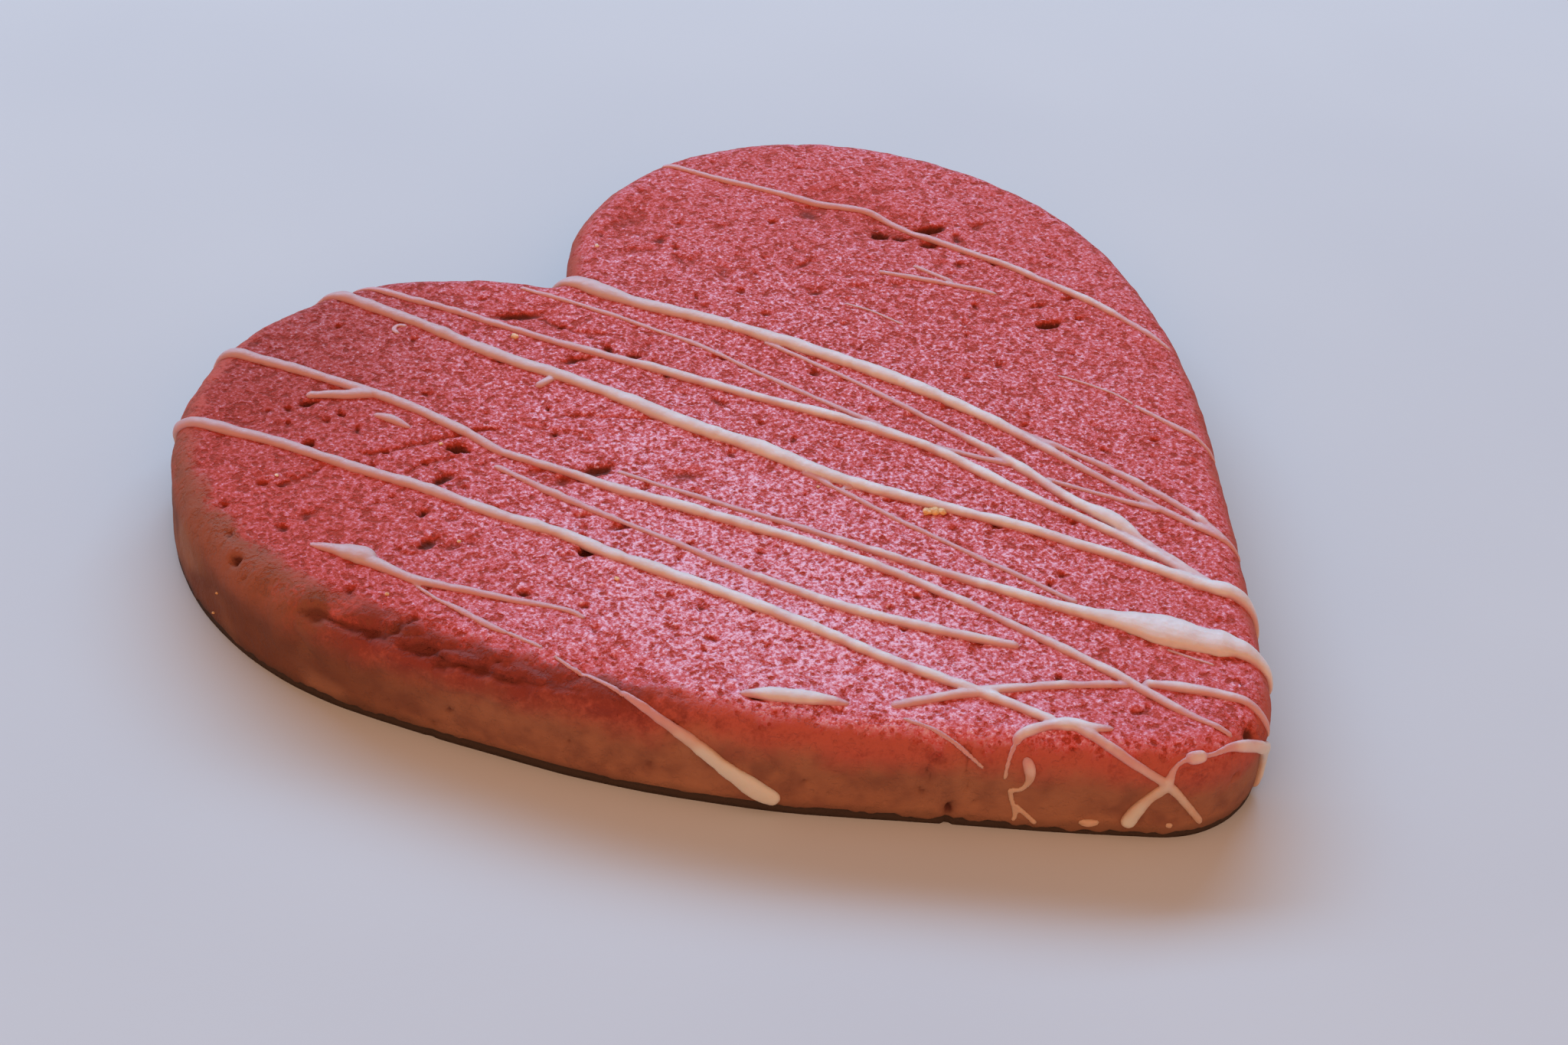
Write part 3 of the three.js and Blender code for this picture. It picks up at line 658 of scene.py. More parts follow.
# Routes of the beads as (x, y, width), on the cookie as if its edge were folded out flat.
DRIZZLE = (
    # Long lines, from the far rim of the left lobe and the notch down to the right-hand rim.
    (
        (-43.3, 44, 0.9), (-41.5, 38, 1.2), (-37.1, 29.8, 1.2), (-34.6, 24.3, 1.1), (-31.1, 17.3, 1.2),
        (-28.6, 10.8, 1.2), (-25.7, 4.8, 1.3), (-24.2, 0.3, 1.3), (-19.2, -12.1, 1.2), (-15.2, -24.1, 1.1),
        (-12.4, -31.1, 1.1), (-10.6, -36.6, 1),
    ),
    (
        (-34.5, 49, 0.8), (-32, 43, 1.2), (-27.6, 34.3, 1.1), (-25.1, 28.3, 1.1), (-23.4, 21.8, 1),
        (-22.6, 17.4, 0.9), (-20.1, 11.9, 0.9), (-18.1, 7.3, 1.1), (-15.2, 1.8, 1.2), (-10.7, -7.1, 1.1),
        (-7.1, -15.6, 1), (-4.7, -24.6, 0.9), (-2.4, -35.6, 1), (-1.3, -42.4, 0.8), (-0.6, -44.8, 0.6),
        (-0.2, -46.2, 0.5),
    ),
    (
        (-21, 50.5, 0.8), (-19, 45.5, 1.2), (-16.2, 37.8, 1.3), (-13.2, 28.3, 1.4), (-9.5, 19.3, 1.5),
        (-7.1, 11.3, 1.6), (-4.2, 4.3, 1.7), (-1.9, -2.7, 1.4), (2.3, -10.7, 1.3), (6.8, -19.1, 1.2),
        (10.2, -26.6, 1.2), (12.7, -32.6, 1.5), (14, -34.8, 1.7), (15, -37.5, 1.2), (15.8, -40, 0.7),
    ),
    (
        (-17.3, 48.5, 0.6), (-15.7, 44.5, 0.8), (-11.6, 36.3, 0.9), (-6.4, 24.9, 0.9),
        (-2.9, 18.3, 1.1), (0.8, 10.8, 1.1), (4.8, 3.3, 1.2), (8, -4.2, 1.2), (9.8, -14.1, 1.1),
        (12.2, -24.6, 1), (13.1, -33.1, 1),
    ),
    (
        (-0.2, 37.3, 1.6), (0.3, 34.5, 2), (2.6, 28.3, 1.5), (7.1, 20.3, 1.5), (11.1, 10.8, 1.6),
        (14, 2.8, 1.5), (16.1, -7.1, 1.2), (17.2, -16.1, 0.8), (18.3, -25.1, 0.8), (19.4, -30, 0.8),
    ),
    # Thin lines that leave a long line or join one.
    ((-4.6, 36.9, 0.6), (-1.1, 29.4, 0.6), (2.4, 19.9, 0.6), (4.5, 10.4, 0.6), (7.1, -0.1, 0.7)),
    (
        (7.9, 16.4, 0.6), (10.1, 5.9, 0.6), (11.7, -4.1, 0.8), (12.5, -11.1, 1.1), (12.7, -18.6, 1.2),
        (13.3, -21.5, 1.7), (13.2, -25.1, 1), (13.2, -33.1, 0.9),
    ),
    ((8.5, -4.6, 0.7), (12.3, -11.1, 0.7)),
    ((13.1, -14.1, 0.6), (17.9, -23.6, 0.7)),
    ((16.6, -7.6, 0.7), (18.7, -15.6, 0.8), (19.8, -25.1, 0.8), (19.4, -29.8, 0.8), (20.2, -32, 0.5)),
    (
        (-24.4, 16.4, 0.6), (-22.9, 10.4, 0.8), (-20.1, 1.9, 0.6), (-16.8, -8.6, 0.9),
        (-13.6, -16.6, 1.1), (-8.1, -25.4, 1), (-5.9, -28.4, 0.7),
    ),
    (
        (-16.4, 9.4, 0.5), (-14.3, 4.4, 0.6), (-9.5, -5.6, 0.7), (-5.9, -13.6, 0.9),
        (-1.5, -22.8, 1.1), (1.6, -28.8, 1.5), (3.6, -32, 2.5), (5.2, -34.8, 3.5), (6.6, -37.2, 3.2),
        (8.6, -40.3, 2.1), (10.5, -44.5, 1),
    ),
    ((-2.9, -3.4, 0.6), (-1.3, -12.1, 0.6), (2.2, -27.6, 0.6)),
    ((-31.1, 34.3, 0.9), (-28.6, 32.5, 1.1), (-26, 30.8, 1.1)),
    ((-14, 23.2, 0.8), (-11.7, 23.4, 0.8)),
    ((-28.1, 28.5, 0.6), (-27.3, 26.8, 0.9), (-26.7, 24.9, 0.5)),
    # Lines that start inside the left lobe and run over the near edge.
    ((-43.3, 17.1, 0.5), (-42.4, 15.6, 1.1), (-41.5, 14.2, 1.8), (-40.8, 12.9, 2.1), (-40.3, 11.9, 1.9)),
    (
        (-41.6, 13.6, 1), (-40.8, 12, 1.3), (-40.3, 10.6, 1.15), (-39.4, 8, 0.9), (-38, 6, 0.8),
        (-35.8, 2.8, 0.8), (-34.4, 0.8, 0.65), (-32.9, -1.2, 0.6), (-31.8, -3.2, 0.55),
        (-31.6, -4.1, 0.5),
    ),
    ((-39.3, 4.4, 0.5), (-38.9, 3.2, 0.6), (-38.2, -0.2, 0.7), (-37.6, -1.8, 0.5)),
    (
        (-36.2, -7.8, 0.5), (-35.2, -11.3, 0.6), (-34.4, -15.2, 0.85), (-33.8, -19, 1.1),
        (-33.5, -23, 1.3), (-33, -26, 1.5), (-32.3, -27.9, 1.3),
    ),
    ((-28, -18.4, 0.7), (-24.8, -21.5, 1.7), (-21.9, -24.7, 0.6)),
    # Crossing lines and loops at the tip.
    ((-19.6, -26.9, 0.8), (-14.1, -29.4, 1), (-8.3, -32.8, 0.9), (-2.3, -37.1, 0.7)),
    (
        (-14.7, -36, 0.6), (-14.1, -35.6, 0.9), (-12.9, -35.8, 1), (-11.2, -36.5, 1.1),
        (-10, -37.3, 1.5), (-8.9, -38.6, 1.1), (-7.4, -39.8, 0.5),
    ),
    (
        (-9.9, -37.3, 1.1), (-9.1, -40.5, 0.9), (-8.5, -42.8, 0.85), (-7.8, -45, 0.8), (-7.4, -46.6, 1),
        (-6.8, -49.2, 0.85), (-6, -51.4, 0.8), (-5.2, -52.8, 0.6),
    ),
    (
        (-12.6, -47.9, 1.4), (-11, -47.1, 1.2), (-9.2, -46.5, 1.1), (-7.6, -46.3, 1.1),
        (-6.2, -45.5, 0.6), (-5.2, -45.4, 0.5), (-4.2, -45.8, 0.6),
    ),
    ((-5, -45.4, 1.1), (-3.2, -46.2, 1.2)),
    (
        (-3.4, -46.1, 0.5), (-2.4, -46.5, 0.5), (-1, -46.8, 0.75), (0.6, -47.4, 1), (3.2, -48.4, 1.2),
        (5.2, -49.2, 1.5), (6.6, -50.2, 1.5), (7.3, -51.8, 1.2), (7.3, -53.2, 0.7),
    ),
    ((-1.4, -37.6, 0.9), (1.8, -41.3, 1.1), (3.5, -44.1, 1), (4.6, -46.8, 0.7), (5.3, -48, 0.5)),
    (
        (-14.7, -37.1, 0.8), (-15, -38, 1), (-15.5, -38.8, 0.8), (-16.3, -39.3, 0.55), (-17, -39.3, 0.5),
        (-17.5, -38.8, 0.5),
    ),
    (
        (-17.4, -38.7, 0.55), (-17.9, -39.5, 0.5), (-18.3, -40.4, 0.5), (-18.8, -41.3, 0.5),
        (-19.4, -41.8, 0.5),
    ),
    ((-18.2, -40.3, 0.5), (-18.1, -41.4, 0.5), (-18, -43.2, 0.5)),
    # Lines on the right lobe.
    (
        (22, 46.5, 0.6), (25, 39.9, 0.8), (29.1, 32.8, 0.9), (32.8, 27.7, 0.8), (34, 20.9, 0.8),
        (36.8, 11.4, 0.9), (38.7, 0.9, 0.9), (39, -7.5, 0.6),
    ),
    ((25.4, 18.7, 0.6), (29.1, 13.6, 0.7), (32.1, 8.9, 0.6)),
    ((29.1, 17.5, 0.6), (30.1, 12.9, 0.6)),
    ((28.4, -11.6, 0.5), (29.1, -17.1, 0.7), (29.6, -21.5, 0.6)),
)

# Hair lines and small smears, in the same form.
HAIR_LINES = (
    ((-18.6, 37.1, 0.5), (-18.5, 38, 0.5), (-17.8, 38.3, 0.5), (-17.2, 37.6, 0.5)),
    ((-19.8, -28.4, 0.4), (-18.7, -30.8, 0.5), (-18.1, -33.2, 0.5), (-17.8, -35.9, 0.4)),
    ((18.7, 16.7, 0.35), (19.9, 14.2, 0.4), (20.8, 10.6, 0.35)),
    ((26.3, -3.9, 0.35), (27.5, -6.3, 0.4), (28.4, -9.3, 0.4), (28.5, -11.5, 0.4)),
    ((3.5, -36, 0.35), (5.2, -40, 0.35)),
    ((-14.6, -35.8, 0.5), (-15.8, -36.5, 0.4), (-17.3, -37.8, 0.35)),
    ((-39.7, 13.6, 0.7), (-41.3, 13.6, 1.2)),
    ((-5.2, 5.4, 0.5), (-4.6, 4.9, 0.6)),
    ((-2.4, -4.1, 0.6), (-1.6, -4.9, 0.4)),
    ((-3.6, -0.4, 0.8), (-3.1, -2, 0.7), (-2.9, -3.8, 0.6)),
    ((-39.6, 8.6, 0.4), (-39.7, 7, 0.4), (-39.4, 4.8, 0.45), (-39.1, 3.8, 0.5)),
    ((-37.7, -1.6, 0.5), (-36.9, -3.9, 0.45), (-36.6, -4.9, 0.4)),
    ((-36.4, -5.8, 0.4), (-36.3, -6.8, 0.4), (-36.1, -8.2, 0.45)),
    # Faint drops at the foot of the wall.
    ((-15.3, -45.1, 0.5), (-14.6, -45.7, 0.8), (-13.9, -46.3, 0.6)),
    ((-9.7, -50.1, 0.5), (-8.8, -50.8, 0.6)),
)


def smooth_route(route, step):
    """Rows of x, y, width every "step" along a centripetal curve through the route's places."""
    knots = np.array(route, float) * MM
    first, last = 2 * knots[0] - knots[1], 2 * knots[-1] - knots[-2]
    knots = np.vstack((first, knots, last))
    rows = []
    for before, start, end, after in zip(knots, knots[1:], knots[2:], knots[3:]):
        pairs = ((before, start), (start, end), (end, after))
        back, here, on = (math.sqrt(np.linalg.norm(q - p)) for p, q in pairs)
        leave = (start - before) / back - (end - before) / (back + here) + (end - start) / here
        arrive = (end - start) / here - (after - start) / (here + on) + (after - end) / on
        leave, arrive = leave * here, arrive * here
        pieces = max(4, math.ceil(np.linalg.norm(end - start) / (step / 2)))
        for t in np.arange(pieces) / pieces:
            rows.append(
                start * (1 + 2 * t) * (1 - t) ** 2
                + leave * t * (1 - t) ** 2
                + end * t * t * (3 - 2 * t)
                - arrive * t * t * (1 - t)
            )
    rows.append(knots[-2])
    rows = np.array(rows)
    reached = np.concatenate(([0], np.linalg.norm(np.diff(rows[:, :2], axis=0), axis=1).cumsum()))
    stations = np.linspace(0, reached[-1], max(6, math.ceil(reached[-1] / step) + 1))
    return np.column_stack([np.interp(stations, reached, rows[:, k]) for k in range(3)])


def bead(route, seed, icing, biscuit):
    """Points and faces of one bead, a closed cord that lies on the biscuit and sinks in a little, and
    the height of its top over each point."""
    rows = smooth_route(route, BEAD_STEP)
    x, y, width = rows.T
    length = np.linalg.norm(np.diff(rows[:, :2], axis=0), axis=1).sum()
    away = np.linspace(0, length, len(rows))

    # The bead swells, thins and wanders a little on its way, each bead in its own part of the noise.
    own_part = np.full(len(rows), seed * 9 * MM)
    along = np.column_stack((away, own_part, np.zeros(len(rows))))
    uneven = noise_at(along, 3.2 * MM, seed) + 0.7 * noise_at(along, 1.2 * MM, seed + 20)
    uneven += 0.4 * noise_at(along, 0.6 * MM, seed + 140)
    width = width * (1 + icing.swelling * uneven)
    tangent = np.gradient(rows[:, :2], axis=0)
    tangent /= np.linalg.norm(tangent, axis=1)[:, None]
    across = np.column_stack((-tangent[:, 1], tangent[:, 0]))
    stray = noise_at(along, 4.5 * MM, seed + 50) + 0.5 * noise_at(along, 1.4 * MM, seed + 80)
    wander = icing.wander * stray
    x, y = x + across[:, 0] * wander, y + across[:, 1] * wander

    # Round ends, which begin a little over half a width before the last station.
    end = np.minimum(away, length - away) / (width * 0.6)
    width = width * np.sqrt(1 - (1 - np.clip(end, 0.02, 1)) ** 2)

    height = BEAD_RISE * (1 - np.exp(-width / BEAD_SPREAD))
    height = height * np.clip(width / FULL_WIDTH, icing.thin_height, 1)
    height = height * (1 + icing.swelling * noise_at(along, 1.7 * MM, seed + 110))
    sides = BEAD_SIDES
    angle = np.arange(sides) * 2 * math.pi / sides
    side = width[:, None] / 2 * np.cos(angle)
    rise = np.sign(np.sin(angle)) * np.abs(np.sin(angle)) ** icing.roundness
    lift = height[:, None] * (icing.seat + (1 - icing.seat) * rise)
    place_x = (x[:, None] + across[:, 0, None] * side).ravel()
    place_y = (y[:, None] + across[:, 1, None] * side).ravel()
    smooth, over = fold(place_x, place_y, np.zeros(place_x.size))
    relief = soft_relief(smooth, place_x, place_y, over, biscuit) - shrink_of(over, biscuit)
    points, _ = fold(place_x, place_y, lift.ravel() + relief)

    faces = []
    for r in range(len(rows) - 1):
        for i in range(sides):
            j = (i + 1) % sides
            a, b = r * sides, (r + 1) * sides
            faces.append((a + i, b + i, b + j, a + j))
    faces.append(tuple(range(sides)))
    faces.append(tuple(len(points) - 1 - i for i in range(sides)))
    return points, faces, np.repeat(height, sides)


def lift_above(points):
    """Height of points above the smooth biscuit, whether over its top, its edge or its wall, and how
    far past the flat top they lie along the surface."""
    _, out = nearest_edge(points[:, 0], points[:, 1])
    sideways = out + TOP_ROUND
    upward = points[:, 2] - (THICKNESS - TOP_ROUND)
    edge = np.hypot(np.maximum(sideways, 0), np.maximum(upward, 0)) - TOP_ROUND
    turn = TOP_ROUND * np.arctan2(np.maximum(sideways, 0), np.maximum(upward, 1e-9))
    on_top, on_wall = sideways <= 0, upward <= 0
    lift = np.where(on_top, upward - TOP_ROUND, np.where(on_wall, sideways - TOP_ROUND, edge))
    over = np.where(on_top, sideways, np.where(on_wall, ROUND_END - upward, turn))
    return lift, over


def with_modifiers(obj, name):
    """The mesh of an object with its modifiers applied. The object is removed."""
    depsgraph = bpy.context.evaluated_depsgraph_get()
    mesh = bpy.data.meshes.new_from_object(obj.evaluated_get(depsgraph), depsgraph=depsgraph)
    mesh.name = name
    old = obj.data
    bpy.data.objects.remove(obj)
    bpy.data.meshes.remove(old)
    return mesh


def icing_mesh(routes, icing, biscuit):
    """One mesh of all the beads, run together where they meet, with the attributes "lift", "thick"
    and "over" for its material."""
    points, faces, heights = [], [], []
    for seed, route in enumerate(routes):
        some, sides, height = bead(route, seed + 1, icing, biscuit)
        first = sum(len(p) for p in points)
        points.append(some)
        heights.append(height)
        faces += [tuple(first + i for i in face) for face in sides]
    points, heights = np.vstack(points), np.concatenate(heights)
    mesh = bpy.data.meshes.new("icing_beads")
    mesh.from_pydata(points, [], faces)
    obj = bpy.data.objects.new("icing_beads", mesh)
    bpy.context.scene.collection.objects.link(obj)
    remesh = obj.modifiers.new("Run together", "REMESH")
    remesh.mode = "VOXEL"
    remesh.voxel_size = icing.voxel
    soften = obj.modifiers.new("Soften", "SMOOTH")
    soften.factor = 0.5
    soften.iterations = icing.soften
    mesh = with_modifiers(obj, "icing_run_together")
    obj = bpy.data.objects.new("icing_beads", mesh)
    bpy.context.scene.collection.objects.link(obj)
    thin = obj.modifiers.new("Thin out", "DECIMATE")
    thin.ratio = min(1, icing.faces / sum(len(face.vertices) - 2 for face in mesh.polygons))
    mesh = with_modifiers(obj, "icing")
    co = np.empty(len(mesh.vertices) * 3)
    mesh.vertices.foreach_get("co", co)
    co = co.reshape(-1, 3)
    lift, over = lift_above(co)
    tree = KDTree(len(points))
    for i, point in enumerate(points):
        tree.insert(point, i)
    tree.balance()
    thick = heights[[tree.find(point)[1] for point in co]]
    set_attribute(mesh, "lift", lift / MM)
    set_attribute(mesh, "thick", thick / MM)
    set_attribute(mesh, "over", over / MM)
    mesh.vertices.foreach_set("co", in_place(co).ravel())
    return mesh


# ---------------------------------------------------------------------------------------------
# Crumbs
# ---------------------------------------------------------------------------------------------

# Bits of paler dough and sugar: x, y on the folded-out cookie, size, and how pale from 0 to 1.
CRUMBS = (
    (1.1, -11.2, 1.1, 0.2),
    (1.6, -11.6, 1.3, 0.1),
    (2.1, -12, 1.1, 0.2),
    (-10.35, 30.6, 0.95, 0.45),
    (-40, 26.1, 0.5, 0.8),
    (-26.1, 21.5, 0.5, 0.5),
    (-42.3, 7.9, 0.5, 0.4),
    (-33.4, 9.8, 0.45, 0.4),
    (-26.3, -1.9, 0.6, 0.45),
    (6.3, 38.3, 0.6, 0.9),
    (-3.9, -2.8, 0.35, 0.8),
    (-53.2, 21.4, 0.35, 0.1),
    (-55.6, 22.3, 0.4, 0.1),
)
CRUMB_SHAPE = (1, 1, 0.6)  # wider than high


def crumb_mesh(settings, biscuit):
    """One mesh of small rough lumps that lie on the biscuit, with the attribute "pale"."""
    ball = bmesh.new()
    bmesh.ops.create_icosphere(ball, subdivisions=3, radius=1)
    shape = np.array([v.co for v in ball.verts])
    sides = [[v.index for v in face.verts] for face in ball.faces]
    ball.free()
    points, faces, pale = [], [], []
    for seed, (x, y, size, share) in enumerate(CRUMBS):
        x, y = np.array([x * MM]), np.array([y * MM])
        smooth, over = fold(x, y, np.zeros(1))
        lift = soft_relief(smooth, x, y, over, biscuit) - shrink_of(over, biscuit)
        middle, _ = fold(x, y, lift + settings.seat * settings.scale * size * MM)
        lumpy = 1 + 0.35 * noise_at(shape, 0.9, seed + 30) + 0.12 * noise_at(shape, 0.35, seed + 60)
        radius = settings.scale * size * MM / 2 * lumpy
        rough = shape * CRUMB_SHAPE * radius[:, None]
        first = len(points) * len(shape)
        points.append(middle + rough)
        faces += [[first + i for i in side] for side in sides]
        pale += [share] * len(shape)
    points = in_place(np.vstack(points))
    mesh = bpy.data.meshes.new("crumbs")
    mesh.from_pydata(points, [], faces)
    set_attribute(mesh, "pale", pale)
    return mesh


# ---------------------------------------------------------------------------------------------
# Materials
# ---------------------------------------------------------------------------------------------


class Finish:
    """One material, whose nodes are added and joined here."""

    def __init__(self, name):
        self.material = bpy.data.materials.new(name)
        self.material.use_nodes = True
        self.nodes = self.material.node_tree.nodes
        self.links = self.material.node_tree.links
        self.surface = self.nodes["Principled BSDF"]
        self.place = self.add("ShaderNodeTexCoord").outputs["Object"]

    def put(self, socket, value):
        """Links another socket or sets a plain value."""
        if isinstance(value, bpy.types.NodeSocket):
            self.links.new(value, socket)
        else:
            socket.default_value = value

    def add(self, kind, **settings):
        """A new node with its own settings."""
        node = self.nodes.new(kind)
        for name, value in settings.items():
            setattr(node, name, value)
        return node

    def attribute(self, name):
        """A number kept on the mesh."""
        return self.add("ShaderNodeAttribute", attribute_name=name).outputs["Fac"]

    def lumps(self, size, detail=2.0, roughness=0.5, seed=0.0):
        """Noise from 0 to 1 with lumps of one size in metres."""
        moved = self.add("ShaderNodeVectorMath", operation="ADD")
        self.put(moved.inputs[0], self.place)
        moved.inputs[1].default_value = (seed, seed * 0.7, -seed)
        node = self.add("ShaderNodeTexNoise")
        self.put(node.inputs["Vector"], moved.outputs[0])
        node.inputs["Scale"].default_value = 1 / size
        node.inputs["Detail"].default_value = detail
        node.inputs["Roughness"].default_value = roughness
        return node.outputs["Fac"]

    def holes(self, size, radius):
        """Round spots, 1 in their middle and 0 between them, of many sizes."""
        node = self.add("ShaderNodeTexVoronoi")
        self.put(node.inputs["Vector"], self.place)
        node.inputs["Scale"].default_value = 1 / size
        chance = self.add("ShaderNodeSeparateColor")
        self.put(chance.inputs[0], node.outputs["Color"])
        largest, soft_edge = radius * 1.6, radius * 0.7
        near = self.minus(self.times(chance.outputs[0], largest), node.outputs["Distance"])
        return self.between(near, 0.0, soft_edge)

    def distance(self, x, y):
        """Distance from a place on the top."""
        node = self.add("ShaderNodeVectorMath", operation="DISTANCE")
        self.put(node.inputs[0], self.place)
        node.inputs[1].default_value = (x, y, THICKNESS)
        return node.outputs["Value"]

    def math(self, operation, a, b=0.0, c=0.0):
        """A sum or product of sockets and numbers."""
        node = self.add("ShaderNodeMath", operation=operation)
        for socket, value in zip(node.inputs, (a, b, c)):
            self.put(socket, value)
        return node.outputs[0]

    def plus(self, a, b):
        """a + b"""
        return self.math("ADD", a, b)

    def minus(self, a, b):
        """a - b"""
        return self.math("SUBTRACT", a, b)

    def times(self, a, b, more=0.0):
        """a times b, and something more."""
        return self.math("MULTIPLY_ADD", a, b, more)

    def between(self, value, low, high, to_low=0.0, to_high=1.0):
        """Turns the range low to high into another one, and stays inside it."""
        node = self.add("ShaderNodeMapRange", interpolation_type="SMOOTHSTEP")
        self.put(node.inputs["Value"], value)
        node.inputs["From Min"].default_value = low
        node.inputs["From Max"].default_value = high
        node.inputs["To Min"].default_value = to_low
        node.inputs["To Max"].default_value = to_high
        return node.outputs["Result"]

    def mix(self, share, a, b, blend="MIX"):
        """Two colours, the second one by its share."""
        node = self.add("ShaderNodeMix", data_type="RGBA", blend_type=blend)
        self.put(node.inputs["Factor"], share)
        self.put(node.inputs["A"], a)
        self.put(node.inputs["B"], b)
        return node.outputs["Result"]

    def ramp(self, value, stops):
        """A colour for each value, from (value, colour) stops."""
        node = self.add("ShaderNodeValToRGB")
        self.put(node.inputs["Fac"], value)
        elements = node.color_ramp.elements
        while len(elements) < len(stops):
            elements.new(0.5)
        for element, (position, colour) in zip(elements, stops):
            element.position = position
            element.color = colour
        return node.outputs["Color"]

    def bump(self, height, distance, strength, normal=None):
        """Fine relief, with its height in metres."""
        node = self.add("ShaderNodeBump")
        node.inputs["Strength"].default_value = strength
        node.inputs["Distance"].default_value = distance
        self.put(node.inputs["Height"], height)
        if normal is not None:
            self.put(node.inputs["Normal"], normal)
        return node.outputs["Normal"]


def dough_material(settings):
    """Porous pink crumb with a pale bloom and painted sheen on top, baked red on the rim and brown down the
    wall, with painted shade in the holes, at the foot and on the left.
    """
    finish = Finish("baked_dough")
    mix, between, distance = finish.mix, finish.between, finish.distance
    plus, minus, times = finish.plus, finish.minus, finish.times
    over = finish.attribute("over")
    hollow = finish.attribute("hollow")
    crags = finish.attribute("crags")
    axes = finish.add("ShaderNodeSeparateXYZ")
    finish.put(axes.inputs[0], finish.place)
    x = axes.outputs["X"]

    speck = finish.lumps(0.38 * MM, 3, 0.62)
    # Sparkle: pale sugar grains with painted glints.
    sparkle = between(finish.lumps(0.19 * MM, 1, 0.5, 5.5), 0.56, 0.72)
    pores = between(finish.lumps(1.2 * MM, 3, 0.7, 31.0), 0.53, 0.64)
    fine_pores = finish.holes(0.75 * MM, 0.3)
    patches = finish.lumps(2.4 * MM, 3, 0.6, 7.7)
    wide = finish.lumps(9 * MM, 2, 0.5, 12.3)

    # How much pale bloom there is, partly real bloom and partly painted sheen: most inside the near side,
    # where the painted sheen is brightest, and least on the left lobe, which also gets less light.
    sheen_middle_distance = distance(-27 * MM, -14 * MM)
    bloom_and_sheen = between(sheen_middle_distance, 4 * MM, 44 * MM, settings.near_bloom_and_sheen, settings.far_bloom_and_sheen)
    bloom_and_sheen = minus(bloom_and_sheen, between(x, -46 * MM, -14 * MM, settings.left_bloom_and_sheen_loss, 0.0))
    bloom_and_sheen = times(patches, 0.6, plus(bloom_and_sheen, -0.3))
    bloom_and_sheen = times(wide, 0.3, plus(bloom_and_sheen, -0.15))

    # From pores and crumb, at 0, up to the palest grains, at 1.
    grains = times(minus(speck, 0.5), 2.4, times(sparkle, 0.34))
    softer = between(distance(0, 2 * MM), 20 * MM, 46 * MM, 1.0, settings.far_grain)
    tone = times(grains, softer, 0.15)
    # Pores lower the tone; hollows lower it further as painted shade.
    for share, strength in ((bloom_and_sheen, 0.42), (pores, -0.3), (fine_pores, -0.42), (hollow, -0.5)):
        tone = times(share, strength, tone)
    stops = (
        (0.05, settings.pore_colour),
        (0.3, settings.crumb_colour),
        (0.58, settings.bloom_and_sheen_colour),
        (0.95, settings.grain_and_glint_colour),
    )
    top = finish.ramp(tone, stops)
    # Painted shade: the crumb is darker towards the far left lobe, where less light falls.
    left_shade_share = between(distance(-30 * MM, 50 * MM), 8 * MM, 30 * MM, 1.0, 0.0)
    left_shade = mix(left_shade_share, (1, 1, 1, 1), settings.left_shade_tint)
    top = mix(1.0, top, left_shade, "MULTIPLY")

    # The bloom ends raggedly on the rim, further in on the left and where the rim is torn.
    ragged = times(patches, 4.0, times(speck, 3.0, -3.5))
    bare = between(distance(-53 * MM, 12 * MM), 8 * MM, 20 * MM, settings.left_bare, -0.4)
    bare = times(crags, 1.1, bare)
    bare = minus(bare, between(x, -32 * MM, -20 * MM, 0.0, 0.9))
    inside = between(plus(over, plus(ragged, bare)), -0.3, 1.5, 1.0, 0.0)

    # The rim is baked red, darker in patches and where it is torn, and brown on the left.
    torn = between(finish.lumps(3.4 * MM, 3, 0.6, 3.3), 0.62, 0.38, 0.38, 0.62)
    darker = times(times(crags, torn), -0.85, 0.14)
    lit = times(patches, 0.9, times(speck, 0.6, -0.3))
    red = mix(between(over, 1.0, 3.0), settings.rim_colour, settings.rim_low_colour)
    baked = mix(between(plus(lit, darker), 0.2, 0.65), settings.rim_dark_colour, red)
    mottled = times(speck, 12 * MM, times(patches, 24 * MM, -18 * MM))
    brown = plus(distance(-53 * MM, 24 * MM), mottled)
    baked = mix(between(brown, 8 * MM, 23 * MM, 0.75, 0.0), baked, settings.rim_brown_colour)
    colour = mix(inside, baked, top)

    # Down the wall the red turns to brown, in soft blotches.
    blotch = finish.lumps(2.2 * MM, 2, 0.5, 21.0)
    uneven = times(patches, 2.4, times(wide, 4.0, -3.2))
    down = between(plus(over, uneven), 2.8, 6.2)
    wall = mix(between(blotch, 0.3, 0.65), settings.wall_dark_colour, settings.wall_colour)
    # Painted shade: the wall of the left lobe is darker and browner, as less light reaches that side.
    wall = mix(between(x, -50 * MM, -40 * MM, 0.85, 0.0), wall, settings.left_wall_shade_colour)
    wall = mix(between(wide, 0.5, 0.66, 0.0, 0.6), wall, settings.wall_tan_colour)
    colour = mix(down, colour, wall)

    # Holes get painted shade, less so in the torn rim, and the foot of the wall gets painted shade over a
    # darker crust.
    hollow_shade = times(between(hollow, 0.3, 1.0, 0.0, 0.88), times(crags, -0.4, 1.0))
    colour = mix(hollow_shade, colour, settings.pit_shade_colour)
    lip = WALL_END / MM
    # Painted shade: the wall darkens just above the foot, and the foot under the lip is nearly black, over
    # a darker crust.
    shade_over_foot = times(blotch, 1.6, plus(over, -0.8))
    colour = mix(between(shade_over_foot, lip - 0.7, lip + 0.3, 0.0, 0.4), colour, settings.foot_shade_colour)
    colour = mix(between(over, lip + 0.3, lip + 0.8), colour, settings.foot_shade_colour)
    colour = mix(between(over, lip + 3, lip + 4), colour, settings.base_colour)
    finish.put(finish.surface.inputs["Base Color"], colour)

